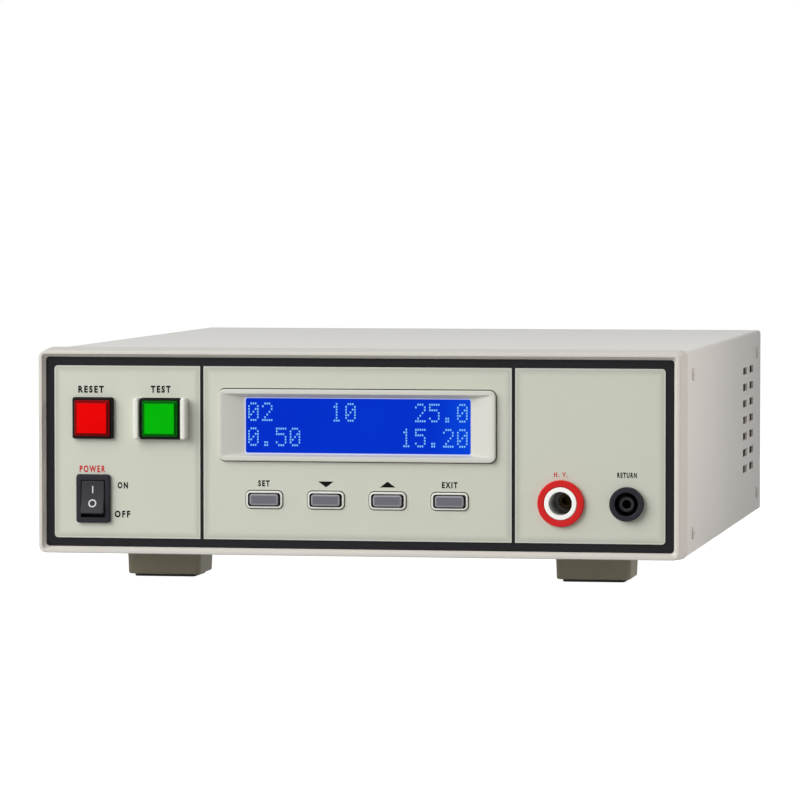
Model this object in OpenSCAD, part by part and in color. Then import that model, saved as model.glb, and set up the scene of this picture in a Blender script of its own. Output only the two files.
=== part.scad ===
// Benchtop high-voltage withstand tester: a two-unit-high half-rack case with its front panel,
// display, buttons, output sockets, inner parts and rear panel, each piece as a sub-part of its own.
// Millimetres. The origin is on the table under the middle of the object, the front faces -Y and +Z is up.

/* [Case] */
// Width of the bezel over its rear edge
case_w = 282; // [278:1:302]
// Height of the bezel over its rear edge
case_h = 90; // [89:1:98]
// Depth from the bezel front to the rear edge of the cover
case_d = 355; // [351:1:389]
// Depth of the moulded bezel
bezel_d = 20; // [19:1:23]
// How far the bezel widens on each side from its front to its rear edge
bezel_draft = 1; // [0.7:0.1:1.3]
// Corner radius of the bezel outline
bezel_r = 3; // [2:0.5:4]
// Width of the bezel rim round the front plate
rim_w = 3; // [2.8:0.1:3.2]
// Chamfer on the outer front edge of the bezel
bezel_edge = 0.8; // [0.4:0.1:1]
// Slope on the inner side of the rim
rim_slope = 1.3; // [0.8:0.1:1.5]
// Step from the bezel's rear edge down to the cover
cover_inset = 1; // [0.9:0.1:1.3]
// Sheet thickness of the cover
cover_t = 1; // [0.8:0.1:1.2]
// Outer bend radius of the cover
cover_bend_r = 1.5; // [1.5:0.5:4]
// Sheet thickness of the tray
tray_t = 1.2; // [1:0.1:1.6]
// Height of the tray's side flanges above the table side of its floor
flange_h = 12; // [8:1:14]
// Thickness of the rear panel and of the bezel tongues
layer_t = 1.5; // [1.2:0.1:1.8]
// How far the rear panel sits inside the cover
rear_recess = 6; // [4:1:8]

/* [Ventilation] */
// Slots above each other
vent_rows = 7; // [4:1:8]
// Columns of slots
vent_cols = 2; // [1:1:2]
// Length of a slot
vent_l = 18; // [12:1:20]
// Height of a slot
vent_h = 3.5; // [2:0.5:4]
// Pitch of the rows
vent_row_pitch = 7.85; // [6.5:0.05:8]
// Pitch of the columns
vent_col_pitch = 31; // [24:0.5:32]
// Rear edge of the cover to the middle of the last column
vent_in = 45.5; // [42:0.5:60]
// Underside of the bezel's front to the lowest row
vent_low = 23.4; // [18:0.1:26]

/* [Front plate and overlays] */
// Depth of the overlays below the rim
panel_recess = 2.5; // [2:0.1:3]
// Thickness of the overlays
overlay_t = 0.5; // [0.3:0.1:0.7]
// Thickness of the black front plate
plate_t = 1.5; // [1.2:0.1:1.8]
// Black band left round the overlays
band_w = 3.6; // [3:0.1:4]
// Overlay left to each side of the display surround
centre_margin = 6.8; // [6:0.1:8]
// Black divider between two overlays
divider_w = 1.5; // [1:0.1:2.5]
// Corner radius of the overlays
field_r = 1.5; // [0.5:0.1:2.5]
// Gap in the overlays round the display surround and the key rings
trim_gap = 0.4; // [0.3:0.05:0.5]
// Ledge of the bezel that the plate rests on
ledge_w = 4; // [3:0.5:5]
// Thickness of that ledge
ledge_t = 3; // [2:0.5:4]
// Side of the ledge's corner pads
pad_w = 10; // [9:0.5:12]
// Plate edge to the plate screws
plate_screw_in = 6.5; // [5:0.5:7]

/* [Display] */
// Width of the surround
display_w = 121; // [118.5:0.5:123]
// Height of the surround
display_h = 31; // [30:0.5:34]
// Corner radius of the surround
display_r = 2.8; // [1:0.1:4]
// How far the surround stands off the overlay
display_lip = 2; // [1:0.1:2.4]
// Flat rim of the surround
display_rim = 2; // [1.2:0.1:2.2]
// Width of the visible display
window_w = 99; // [90:0.5:104]
// Height of the visible display
window_h = 23.6; // [18:0.2:25]
// Place of the display up the front, as a share of its height
display_up_share = 0.6386; // [0.63:0.0001:0.65]
// Metal frame to each side of the visible display
frame_border = 4.5; // [3.8:0.1:5]
// Height of the display's metal frame
lcd_frame_h = 36; // [32:0.5:37]
// Depth of the display's metal frame
lcd_frame_d = 9; // [9:0.5:11]
// Display board to each side of the metal frame
board_border = 7; // [6.6:0.1:8]
// Height of the display board
lcd_board_h = 43; // [42.5:0.5:44]
// Edge of the display board to its spacers
spacer_in = 3.8; // [3.6:0.1:4.2]

/* [Keys] */
// Distance between two keys
key_pitch = 27; // [25:0.5:28]
// Place of the keys up the front, as a share of its height
key_up_share = 0.2727; // [0.26:0.0001:0.28]
// Width of a key cap
key_w = 12.6; // [10:0.1:13]
// Height of a key cap
key_h = 5.4; // [4:0.1:6]
// Width of the ring round a key
ring_w = 15.9; // [15.6:0.1:17]
// Height of the ring round a key
ring_h = 7.5; // [7.3:0.1:9]
// How far the ring stands off the overlay
ring_out = 0.8; // [0.4:0.1:1.4]
// How far a key stands off the overlay
key_out = 1.8; // [1.5:0.1:2.4]
// Travel of a key
key_travel = 1; // [0.5:0.1:1.2]

/* [Push buttons] */
// Place of the reset button across the left overlay, as a share of its width
reset_share = 0.2694; // [0.26:0.0001:0.29]
// Place of the test button across the left overlay, as a share of its width
test_share = 0.7368; // [0.72:0.0001:0.76]
// Place of the buttons up the front, as a share of its height
button_up_share = 0.667; // [0.65:0.001:0.68]
// Side of the square housing
button_w = 18; // [17.5:0.1:19]
// How far the housing stands off its seat
button_out = 2.4; // [2.4:0.1:3]
// Side of the lens
lens_w = 15.6; // [14:0.1:15.8]
// Side of the raised face of the lens
lens_face_w = 13.4; // [12:0.1:13.8]
// Height of the raised face
lens_step = 0.8; // [0.3:0.1:1.2]
// How far the lens stands off the housing
lens_out = 2; // [1.8:0.1:2.4]
// Travel of the lens
lens_travel = 1.7; // [1:0.1:1.7]
// Radius of the barrel behind the panel
barrel_r = 8; // [7:0.1:8.2]
// Thickness of the guard's base
guard_t = 0.8; // [0.6:0.1:1.2]
// Thickness of each guard bar
guard_bar = 2.4; // [1.8:0.1:2.6]
// How far the guard bars stand off the overlay
guard_out = 5.5; // [5:0.1:6.5]

/* [Power switch] */
// Place of the power switch across the left overlay, as a share of its width
power_share = 0.2694; // [0.26:0.0001:0.3]
// Place of the switch and the sockets up the front, as a share of its height
lower_up_share = 0.2693; // [0.26:0.0001:0.28]
// Width of the switch flange
power_w = 15; // [14.4:0.1:17]
// Height of the switch flange
power_h = 21; // [20.4:0.1:23]
// How far the switch flange stands off the overlay
power_out = 2; // [1.4:0.1:2.5]
// Width of the rocker
rocker_w = 10.2; // [9:0.1:10.4]
// Length of the rocker
rocker_l = 14.4; // [13:0.1:14.6]
// Rocker tilt to each side of its middle
rocker_tilt = 9; // [5:0.5:9]

/* [Sockets] */
// Place of the return socket in from the outer edge of the right overlay, as a share of its width
return_share = 0.2539; // [0.25:0.0001:0.29]
// Place of the high-voltage socket in from the outer edge of the right overlay, as a share of its width
hv_share = 0.6935; // [0.68:0.0001:0.72]
// Radius of the red flange
hv_flange_r = 10; // [9:0.1:11]
// How far the red flange stands off the overlay
hv_out = 2; // [1.2:0.1:3]
// Radius of the high-voltage bore
hv_bore_r = 5; // [4:0.1:5.4]
// Depth of the high-voltage bore
hv_bore_l = 20; // [16:0.5:24]
// Radius of the white insulator
hv_insulator_r = 7; // [6.4:0.1:7.1]
// Radius of the return socket
return_r = 7.35; // [7:0.05:8.5]
// How far the return socket stands off the overlay
return_out = 3; // [2:0.1:4]
// Radius of the return contact's bore
return_bore_r = 2; // [1.6:0.05:2.1]
// Depth of the return contact's bore
return_bore_l = 20; // [14:0.5:22]

/* [Feet] */
// Height from the table to the tray
foot_h = 14; // [12:0.5:18]
// Width of a foot at the top
foot_w = 33.5; // [30:0.5:40]
// Length of a foot at the top
foot_l = 30; // [26:0.5:36]
// How much a foot narrows towards the table
foot_draft = 0.9; // [0.5:0.1:2.5]
// Distance between the feet across the case
foot_span = 192; // [160:0.5:200]
// Bezel front to the middle of the front feet
foot_front = 66; // [62:0.5:80]
// Rear edge of the cover to the middle of the rear feet
foot_rear = 66; // [50:0.5:80]
// Thickness of the rubber pads
pad_t = 1.2; // [0.8:0.1:2]

/* [Transformer] */
// Stack thickness of the core
core_x = 40; // [36:1:44]
// Width of the core
core_y = 84; // [80:1:88]
// Gap between the core and the cover
core_clear = 8; // [6:0.5:12]
// Width of the centre leg
leg_y = 28; // [24:1:30]
// Height of the winding window
coil_z = 40; // [36:1:44]
// How far the winding bulges out of the core
coil_out = 18; // [14:1:19]
// Height of the rails under the core
rail_h = 3.8; // [3:0.1:5]
// Case side to the middle of the core
core_in = 44; // [43:0.5:48]
// Rear edge of the cover to the middle of the core
core_rear = 98; // [94:1:104]

/* [Boards and heat sink] */
// Width of the main board
board_w = 130; // [120:1:136]
// Case side to the main board
board_in = 20; // [16:1:26]
// Bezel front to the main board
board_front = 70; // [64:1:80]
// Main board to the heat sink
board_gap = 10; // [6:1:20]
// Height of the tallest part on the main board
part_h = 34; // [28:1:40]
// Thickness of the boards
board_t = 1.6; // [1.2:0.1:2]
// Height of the main board's standoffs
standoff_h = 8; // [6:0.5:12]
// Rear edge of the cover to the heat sink
sink_rear = 50; // [46:1:54]
// Length of the heat sink
sink_l = 76; // [60:1:80]
// Height of the heat sink
sink_h = 60; // [50:1:70]
// Length of the heat sink's fins
fin_l = 22; // [14:1:24]

/* [Fan] */
// Side of the fan
fan_w = 60; // [58:1:62]
// Depth of the fan
fan_d = 25; // [20:1:28]
// Radius of the fan's bore
fan_bore_r = 28.5; // [27:0.1:28.8]
// Screw pitch of the fan
fan_pitch = 50; // [49:0.5:52]
// Middle of the case to the middle of the fan
fan_x = 30; // [22:1:34]
// Radius of the rotor hub
hub_r = 15; // [12:0.5:17]
// Blades of the rotor
blades = 7; // [5:1:8]

/* [Rear connectors] */
// Case side to the middle of the mains inlet
inlet_in = 40; // [36:1:46]
// Mains inlet to the ground stud
stud_pitch = 44; // [38:1:50]
// How far the ground stud stands off the rear panel
stud_out = 16; // [14:0.5:20]
// Radius of the ground stud
stud_r = 2.5; // [2:0.1:3]
// Travel of the fuse drawer
drawer_travel = 12; // [8:0.5:14]
// Case side to the middle of the signal connectors
signal_in = 44; // [40:1:48]

/* [Clearances] */
// Between the plate and the bezel, and between other loose pieces
fit_gap = 0.2; // [0.1:0.05:0.3]
// Seam between the bezel and the cover
seam_gap = 0.3; // [0.2:0.1:0.6]
// Between a sliding piece and its opening
slide_gap = 0.3; // [0.2:0.05:0.4]
// Between a screw and the hole it is driven into
thread_gap = 0.06; // [0.04:0.01:0.1]
// Between a screw and the hole it passes through
pass_gap = 0.25; // [0.2:0.05:0.3]

/* [Hidden] */
$fn = 48;

// Levels from front to back
front_reach = guard_out - panel_recess;
rear_reach = stud_out - rear_recess;
front_y = -(case_d + rear_reach - front_reach) / 2;
overlay_y = front_y + panel_recess;
plate_y = overlay_y + overlay_t;
back_y = plate_y + plate_t;
ledge_y = back_y + ledge_t;
bezel_back_y = front_y + bezel_d;
cover_y = bezel_back_y + seam_gap;
cover_back_y = front_y + case_d;
rear_y = cover_back_y - rear_recess;
rear_in_y = rear_y - layer_t;

// Levels from the table up
bezel_z = foot_h - cover_inset;
bezel_top = bezel_z + case_h;
mid_z = bezel_z + case_h / 2;
front_z = bezel_z + bezel_draft;
front_h = case_h - 2 * bezel_draft;
floor_z = foot_h + tray_t;
cover_top = bezel_top - cover_inset;
inner_top = cover_top - cover_t;
display_z = front_z + front_h * display_up_share;
key_z = front_z + front_h * key_up_share;
button_z = front_z + front_h * button_up_share;
lower_z = front_z + front_h * lower_up_share;

// Half widths from the outside in
cover_hw = case_w / 2 - cover_inset;
inner_hw = cover_hw - cover_t;
flange_hw = inner_hw - layer_t;

// Front plate
plate_w = case_w - 2 * bezel_draft - 2 * rim_w;
plate_h = front_h - 2 * rim_w;
field_w = plate_w - 2 * band_w;
field_h = plate_h - 2 * band_w;
divider_x = display_w / 2 + centre_margin + divider_w / 2;
side_field_w = field_w / 2 - divider_x - divider_w / 2;
plate_screw_x = plate_w / 2 - plate_screw_in;
plate_screw_dz = plate_h / 2 - plate_screw_in;
plate_screw_r = 1.5;

// Pieces on the panel
reset_x = -field_w / 2 + side_field_w * reset_share;
test_x = -field_w / 2 + side_field_w * test_share;
power_x = -field_w / 2 + side_field_w * power_share;
return_x = field_w / 2 - side_field_w * return_share;
hv_x = field_w / 2 - side_field_w * hv_share;
barrel_hole_r = barrel_r + fit_gap / 2;
barrel_l = 18;
block_l = 20;
stem_r = 5;
power_body_w = 12.8;
power_body_h = 18.6;
power_body_l = 22;
hv_sleeve_r = 8;
hv_sleeve_l = 14;
hv_total_l = hv_bore_l + 12;
return_barrel_r = 6;
return_barrel_l = 24;
display_cut_w = display_w - 4.6;
display_cut_h = display_h - 2.6;
lcd_frame_w = window_w + 2 * frame_border;
lcd_board_w = lcd_frame_w + 2 * board_border;
spacer_dx = lcd_board_w / 2 - spacer_in;
spacer_dz = lcd_board_h / 2 - spacer_in;
spacer_r = 2.6;
board_screw_r = 1.25;
key_spacer_l = 7;
key_spacer_dz = 4.5;
key_board_h = 16;
key_board_end = 3;
key_switch_w = 8;
key_switch_l = 4.2;
key_board_y = back_y + key_spacer_l;
key_x = [-1.5 * key_pitch, -0.5 * key_pitch, 0.5 * key_pitch, 1.5 * key_pitch];

// Feet
foot_edge = 0.8;
sole_w = foot_w - foot_draft - 2 * foot_edge;
sole_l = foot_l - foot_draft - 2 * foot_edge;

// Side screws of the cover
side_screw_r = 2;
side_screw_head = 0.8;
side_front_y = front_y + 48.5;
side_rear_y = rear_in_y - 12;
side_low_z = front_z + 8.5;
side_high_z = front_z + front_h - 10.5;
tongue_h = 10;

// Inner parts
core_x0 = case_w / 2 - core_in;
core_y0 = cover_back_y - core_rear;
core_low = floor_z + rail_h;
core_z = inner_top - core_clear - core_low;
core_mid = core_low + core_z / 2;
rail_dy = core_y / 2 - 8;
rail_screw_dx = core_x / 2 + 6;
sink_y = cover_back_y - sink_rear - sink_l;
board_d = sink_y - board_gap - front_y - board_front;
board_x = -case_w / 2 + board_in + board_w / 2;
board_y = front_y + board_front + board_d / 2;
board_low = floor_z + standoff_h;
board_top = board_low + board_t;
standoff_dx = board_w / 2 - 5;
standoff_dy = board_d / 2 - 5;
sink_x = -flange_hw + tray_t + 28;
sink_base = 6;
transistor_w = sink_l / 4 - 3.5;
transistor_h = sink_h / 3;
transistor_up = sink_h * 0.4;
fan_z = mid_z;
fan_y = rear_in_y - fan_d;
inlet_x = -case_w / 2 + inlet_in;
stud_x = inlet_x + stud_pitch;
signal_x = case_w / 2 - signal_in;
inlet_z = mid_z;
inlet_l = 24;
inlet_out = 2.5;
inlet_w = 26.6;
inlet_h = 34;
inlet_rim = 2.2;
inlet_rim_h = 2.5;
drawer_w = 19.6;
drawer_h = 7.6;
signal_w = 19;
signal_h = 10.4;
signal_flange_w = 31;
signal_flange_h = 12.5;
jack_pitch = 25;
socket_z = inlet_z + 7;
drawer_z = inlet_z - 12;
stud_z = mid_z - 20;
signal_dz = 15;
guard_wire = 1.4;
stud_base_r = stud_r + 0.5;
stud_base_out = 4.5;

// Colours
bezel_colour = [0.84, 0.82, 0.77];
cover_colour = [0.78, 0.77, 0.75];
black = [0.07, 0.07, 0.08];
field_colour = [0.78, 0.79, 0.73];
steel = [0.66, 0.67, 0.68];
board_green = [0.08, 0.3, 0.14];
brass = [0.72, 0.56, 0.24];

// Outlines and small helpers

module rounded_rect(w, h, r) {
  square([w - 2 * r, h], center = true);
  square([w, h - 2 * r], center = true);
  for (x = [-1, 1], y = [-1, 1])
    translate([x * (w / 2 - r), y * (h / 2 - r)])
      circle(r);
}

// An outline drawn in X and Z, from y0 towards the rear
module sheet_xz(y0, t) {
  translate([0, y0 + t, 0])
    rotate([90, 0, 0])
      linear_extrude(t)
        children();
}

// An outline drawn in Y and Z, from x0 towards the right
module sheet_yz(x0, t) {
  translate([x0, 0, 0])
    rotate([90, 0, 90])
      linear_extrude(t)
        children();
}

// A round bar along Y
module bar_y(x, y0, z, r, l) {
  translate([x, y0, z])
    rotate([-90, 0, 0])
      cylinder(r = r, h = l);
}

// A round bar along X
module bar_x(x0, y, z, r, l) {
  translate([x0, y, z])
    rotate([0, 90, 0])
      cylinder(r = r, h = l);
}

module box_xz(x, z, w, h, y0, l, r) {
  translate([x, 0, z])
    sheet_xz(y0, l)
      rounded_rect(w, h, r);
}

// A screw with its head above the plane z = 0 and a cross in the head
module screw(head_r, head_h, shank_r, shank_l) {
  difference() {
    union() {
      cylinder(r = head_r, h = head_h);
      translate([0, 0, -shank_l])
        cylinder(r = shank_r, h = shank_l + head_h / 2);
    }
    translate([0, 0, head_h])
      cube([head_r * 1.2, head_r * 0.24, head_h], center = true);
    translate([0, 0, head_h])
      cube([head_r * 0.24, head_r * 1.2, head_h], center = true);
  }
}

// A hexagon nut along Y
module nut_y(x, y0, z, flats, bore_r, t) {
  translate([x, y0, z])
    rotate([-90, 0, 0])
      difference() {
        cylinder(r = flats / sqrt(3), h = t, $fn = 6);
        translate([0, 0, -1])
          cylinder(r = bore_r, h = t + 2);
      }
}

// Front bezel and plate

module bezel_plate(inset, y0, t) {
  translate([0, 0, mid_z])
    sheet_xz(y0, t)
      rounded_rect(case_w - 2 * inset, case_h - 2 * inset, bezel_r, $fn = 32);
}

module pocket_plate(grow, y0, t) {
  translate([0, 0, mid_z])
    sheet_xz(y0, t)
      rounded_rect(plate_w + 2 * grow, plate_h + 2 * grow, 1.5, $fn = 32);
}

module ledge_opening() {
  w = plate_w - 2 * ledge_w;
  h = plate_h - 2 * ledge_w;
  pad = pad_w - ledge_w;
  difference() {
    square([w, h], center = true);
    for (x = [-1, 1], z = [-1, 1])
      translate([x * (w / 2 - pad / 2 + 0.5), z * (h / 2 - pad / 2 + 0.5)])
        square([pad + 1, pad + 1], center = true);
  }
}

module bezel_tongue(z) {
  root_y = bezel_back_y - 8;
  translate([flange_hw, root_y, z - tongue_h / 2])
    cube([layer_t, side_front_y + 9 - root_y, tongue_h]);
  translate([flange_hw + layer_t / 2, root_y, z - tongue_h / 2])
    cube([layer_t / 2 + 0.6, bezel_back_y - 0.5 - root_y, tongue_h]);
}

module front_bezel() {
  color(bezel_colour)
    difference() {
      union() {
        difference() {
          hull() {
            bezel_plate(bezel_draft + bezel_edge, front_y, 0.1);
            bezel_plate(bezel_draft, front_y + bezel_edge, 0.1);
            bezel_plate(0, bezel_back_y - 0.5, 0.5);
          }
          hull() {
            pocket_plate(rim_slope, front_y - 0.1, 0.1);
            pocket_plate(fit_gap, front_y + rim_slope, 0.1);
          }
          pocket_plate(fit_gap, front_y - 1, back_y - front_y + 1);
          translate([0, 0, mid_z])
            sheet_xz(front_y, bezel_d)
              ledge_opening();
          translate([0, 0, mid_z])
            sheet_xz(ledge_y, bezel_d)
              square([2 * inner_hw, case_h - 2 * (cover_inset + cover_t)], center = true);
        }
        for (s = [0, 1], z = [side_low_z, side_high_z])
          mirror([s, 0, 0])
            bezel_tongue(z);
      }
      for (x = [-1, 1], z = [-1, 1])
        bar_y(x * plate_screw_x, back_y - 1, mid_z + z * plate_screw_dz,
          plate_screw_r + pass_gap, ledge_t + 2);
      for (s = [-1, 1], z = [side_low_z, side_high_z])
        bar_x(s * flange_hw - 3, side_front_y, z, side_screw_r + pass_gap, 6);
    }
}

// Openings shared by the plate and the overlays
module panel_openings() {
  translate([reset_x, button_z])
    circle(barrel_hole_r);
  translate([test_x, button_z])
    circle(barrel_hole_r);
  translate([power_x, lower_z])
    square([power_body_w + 2 * fit_gap, power_body_h + 2 * fit_gap], center = true);
  translate([0, display_z])
    square([display_cut_w, display_cut_h], center = true);
  for (x = key_x)
    translate([x, key_z])
      rounded_rect(key_w + 2 * slide_gap, key_h + 2 * slide_gap, 1.2);
  translate([hv_x, lower_z])
    circle(hv_sleeve_r + fit_gap / 2);
  translate([return_x, lower_z])
    circle(return_barrel_r + fit_gap / 2);
}

module front_panel() {
  color(black)
    sheet_xz(plate_y, plate_t)
      difference() {
        translate([0, mid_z])
          rounded_rect(plate_w, plate_h, 1.4);
        panel_openings();
        for (x = [-1, 1], z = [-1, 1])
          translate([x * plate_screw_x, mid_z + z * plate_screw_dz])
            circle(plate_screw_r + thread_gap);
      }
}

// Openings of the overlays round what stands on the plate
module trim_openings() {
  translate([0, display_z])
    rounded_rect(display_w + 2 * trim_gap, display_h + 2 * trim_gap, display_r + trim_gap, $fn = 32);
  for (x = key_x)
    translate([x, key_z])
      rounded_rect(ring_w + 2 * trim_gap, ring_h + 2 * trim_gap, 2 + trim_gap);
}

module overlay(x0, x1) {
  color(field_colour)
    sheet_xz(overlay_y, overlay_t)
      difference() {
        intersection() {
          translate([0, mid_z])
            rounded_rect(field_w, field_h, field_r);
          translate([x0, 0])
            square([x1 - x0, bezel_top]);
        }
        panel_openings();
        trim_openings();
      }
}

module overlay_left() {
  overlay(-case_w, -divider_x - divider_w / 2);
}

module overlay_centre() {
  overlay(-divider_x + divider_w / 2, divider_x - divider_w / 2);
}

module overlay_right() {
  overlay(divider_x + divider_w / 2, case_w);
}

module panel_screws() {
  color(steel)
    for (x = [-1, 1], z = [-1, 1])
      translate([x * plate_screw_x, ledge_y, mid_z + z * plate_screw_dz])
        rotate([-90, 0, 0])
          screw(2.8, 2, plate_screw_r, ledge_t + plate_t - 0.2);
}

// Display

module display_surround() {
  front = overlay_y - display_lip;
  color(bezel_colour)
    translate([0, 0, display_z])
      difference() {
        union() {
          hull() {
            sheet_xz(front, 0.1)
              rounded_rect(display_w - 1, display_h - 1, display_r, $fn = 32);
            sheet_xz(front + 0.5, plate_y - front - 0.5)
              rounded_rect(display_w, display_h, display_r, $fn = 32);
          }
          sheet_xz(overlay_y - 0.2, back_y - overlay_y + 0.2)
            square([display_cut_w - 2 * fit_gap, display_cut_h - 2 * fit_gap], center = true);
        }
        hull() {
          sheet_xz(front - 0.1, 0.1)
            square([display_w - 2 * display_rim, display_h - 2 * display_rim], center = true);
          sheet_xz(back_y - 0.6, 0.1)
            square([window_w, window_h], center = true);
        }
        sheet_xz(back_y - 1, 2)
          square([window_w, window_h], center = true);
      }
}

module display_frame() {
  color(steel)
    translate([0, 0, display_z])
      difference() {
        sheet_xz(back_y, lcd_frame_d)
          square([lcd_frame_w, lcd_frame_h], center = true);
        sheet_xz(back_y + 0.5, lcd_frame_d)
          square([lcd_frame_w - 1.6, lcd_frame_h - 1.6], center = true);
        sheet_xz(back_y - 1, lcd_frame_d)
          square([window_w + 2, window_h + 2], center = true);
      }
}

module display_glass() {
  color([0.02, 0.1, 0.8])
    translate([0, 0, display_z])
      sheet_xz(back_y + 0.5, lcd_frame_d - 0.5)
        square([lcd_frame_w - 1.6 - 2 * fit_gap, lcd_frame_h - 1.6 - 2 * fit_gap], center = true);
}

module display_board() {
  color(board_green)
    translate([0, 0, display_z])
      sheet_xz(back_y + lcd_frame_d, board_t)
        difference() {
          square([lcd_board_w, lcd_board_h], center = true);
          for (x = [-1, 1], z = [-1, 1])
            translate([x * spacer_dx, z * spacer_dz])
              circle(board_screw_r + pass_gap);
        }
}

module spacer(x, z, l) {
  translate([x, back_y, z])
    rotate([-90, 0, 0])
      difference() {
        cylinder(r = spacer_r, h = l, $fn = 6);
        translate([0, 0, 2])
          cylinder(r = board_screw_r + thread_gap, h = l);
      }
}

module board_spacers() {
  color(brass) {
    for (x = [-1, 1], z = [-1, 1])
      spacer(x * spacer_dx, display_z + z * spacer_dz, lcd_frame_d);
    for (x = [-1, 1], z = [-1, 1])
      spacer(x * key_pitch, key_z + z * key_spacer_dz, key_spacer_l);
  }
}

module spacer_screw(x, y, z) {
  translate([x, y, z])
    rotate([-90, 0, 0])
      screw(2.3, 1.6, board_screw_r, 4.5);
}

module spacer_screws() {
  color(steel) {
    for (x = [-1, 1], z = [-1, 1])
      spacer_screw(x * spacer_dx, back_y + lcd_frame_d + board_t, display_z + z * spacer_dz);
    for (x = [-1, 1], z = [-1, 1])
      spacer_screw(x * key_pitch, key_board_y + board_t, key_z + z * key_spacer_dz);
  }
}

// Keys

module key_board() {
  color(board_green)
    translate([0, 0, key_z])
      sheet_xz(key_board_y, board_t)
        difference() {
          square([4 * key_pitch - 2 * key_board_end, key_board_h], center = true);
          for (x = [-1, 1], z = [-1, 1])
            translate([x * key_pitch, z * key_spacer_dz])
              circle(board_screw_r + pass_gap);
        }
}

module key_switches() {
  color(black)
    for (x = key_x)
      translate([x, 0, key_z])
        difference() {
          sheet_xz(key_board_y - key_switch_l, key_switch_l)
            square([key_switch_w, key_switch_w], center = true);
          bar_y(0, key_board_y - 5, 0, 1.5 + fit_gap, 4.8);
        }
}

module key_rings() {
  color(bezel_colour)
    for (x = key_x)
      translate([x, 0, key_z])
        sheet_xz(overlay_y - ring_out, ring_out + overlay_t)
          difference() {
            rounded_rect(ring_w, ring_h, 2);
            rounded_rect(key_w + 2 * slide_gap, key_h + 2 * slide_gap, 1.2);
          }
}

// A key: cap, collar behind the plate and stem in its switch
module key(x) {
  collar_y = back_y + fit_gap;
  color([0.44, 0.43, 0.46])
    union() {
      box_xz(x, key_z, key_w, key_h, overlay_y - key_out, collar_y + 0.4 - overlay_y + key_out, 1);
      box_xz(x, key_z, key_w + 2, key_h + 2, collar_y, 1, 1);
      bar_y(x, collar_y + 0.5, key_z, 1.5, 3.6);
    }
}

module key_set() {
  key(key_x[0]);
}

module key_down() {
  key(key_x[1]);
}

module key_up_cap() {
  key(key_x[2]);
}

module key_exit() {
  key(key_x[3]);
}

// Push buttons

module button_housing(x, seat) {
  front = seat - button_out;
  end = overlay_y + barrel_l;
  color(black)
    difference() {
      union() {
        box_xz(x, button_z, button_w, button_w, front, button_out, 0.8);
        bar_y(x, seat - 0.2, button_z, barrel_r, end - seat + 0.2);
      }
      box_xz(x, button_z, lens_w + 2 * fit_gap, lens_w + 2 * fit_gap, front - 1, button_out + 0.6, 0.6);
      bar_y(x, front, button_z, stem_r + slide_gap, end - front - 2);
    }
}

module button_lens(x, seat, colour) {
  face = seat - button_out - lens_out;
  back = seat - button_out + 0.2;
  color(colour)
    union() {
      box_xz(x, button_z, lens_w, lens_w, face + lens_step, back - face - lens_step, 0.6);
      box_xz(x, button_z, lens_face_w, lens_face_w, face, lens_step + 0.2, 0.6);
      bar_y(x, back - 0.2, button_z, stem_r, 14);
    }
}

module reset_housing() {
  button_housing(reset_x, overlay_y);
}

module reset_lens() {
  button_lens(reset_x, overlay_y, [0.86, 0.02, 0.02]);
}

module test_guard() {
  bar_x = button_w / 2 + fit_gap + guard_bar / 2;
  bar_l = guard_out - guard_bar / 2;
  color(bezel_colour)
    difference() {
      union() {
        box_xz(test_x, button_z, 2 * bar_x, button_w, overlay_y - guard_t, guard_t, 0.5);
        for (s = [-1, 1]) {
          translate([test_x + s * bar_x - guard_bar / 2, overlay_y - bar_l, button_z - button_w / 2])
            cube([guard_bar, bar_l, button_w]);
          translate([test_x + s * bar_x, overlay_y - bar_l, button_z - button_w / 2])
            cylinder(r = guard_bar / 2, h = button_w);
        }
      }
      bar_y(test_x, overlay_y - 5, button_z, barrel_hole_r, 10);
    }
}

module test_housing() {
  button_housing(test_x, overlay_y - guard_t);
}

module test_lens() {
  button_lens(test_x, overlay_y - guard_t, [0.02, 0.62, 0.06]);
}

module contact_blocks() {
  color([0.2, 0.2, 0.22])
    for (x = [reset_x, test_x]) {
      box_xz(x, button_z, 17, 17, overlay_y + barrel_l, block_l, 1);
      for (s = [-1, 1])
        translate([x + s * 5 - 0.4, overlay_y + barrel_l + block_l - 0.5, button_z - 2.4])
          cube([0.8, 6, 4.8]);
    }
}

// Power switch

pivot_y = overlay_y - power_out + 3.6;
cavity_h = power_body_h - 2.4;

module power_housing() {
  front = overlay_y - power_out;
  color(black)
    difference() {
      union() {
        box_xz(power_x, lower_z, power_w, power_h, front, power_out, 1);
        box_xz(power_x, lower_z, power_body_w, power_body_h, overlay_y - 0.2, power_body_l, 0.5);
        for (z = [-5, 5])
          translate([power_x - 2.4, overlay_y + power_body_l - 1, lower_z + z - 0.4])
            cube([4.8, 8, 0.8]);
      }
      box_xz(power_x, lower_z, rocker_w + 2 * slide_gap, cavity_h, front - 1, 15, 0.4);
      bar_x(power_x - power_body_w / 2 - 1, pivot_y, lower_z, 1.25 + slide_gap, power_body_w + 2);
    }
}

// The rocker drawn level about its pivot, then tipped to the on side
module power_rocker() {
  end = rocker_l / 2;
  color(black)
    translate([power_x, pivot_y, lower_z])
      rotate([-rocker_tilt, 0, 0])
        union() {
          sheet_yz(-rocker_w / 2, rocker_w)
            polygon([[-3.9, 0], [-4.8, end], [-1, end], [3.2, 2.4], [3.2, -2.4], [-1, -end], [-4.8, -end]]);
          bar_x(-rocker_w / 2 - slide_gap - 0.8, 0, 0, 1.25, rocker_w + 2 * slide_gap + 1.6);
        }
}

// Sockets

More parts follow.
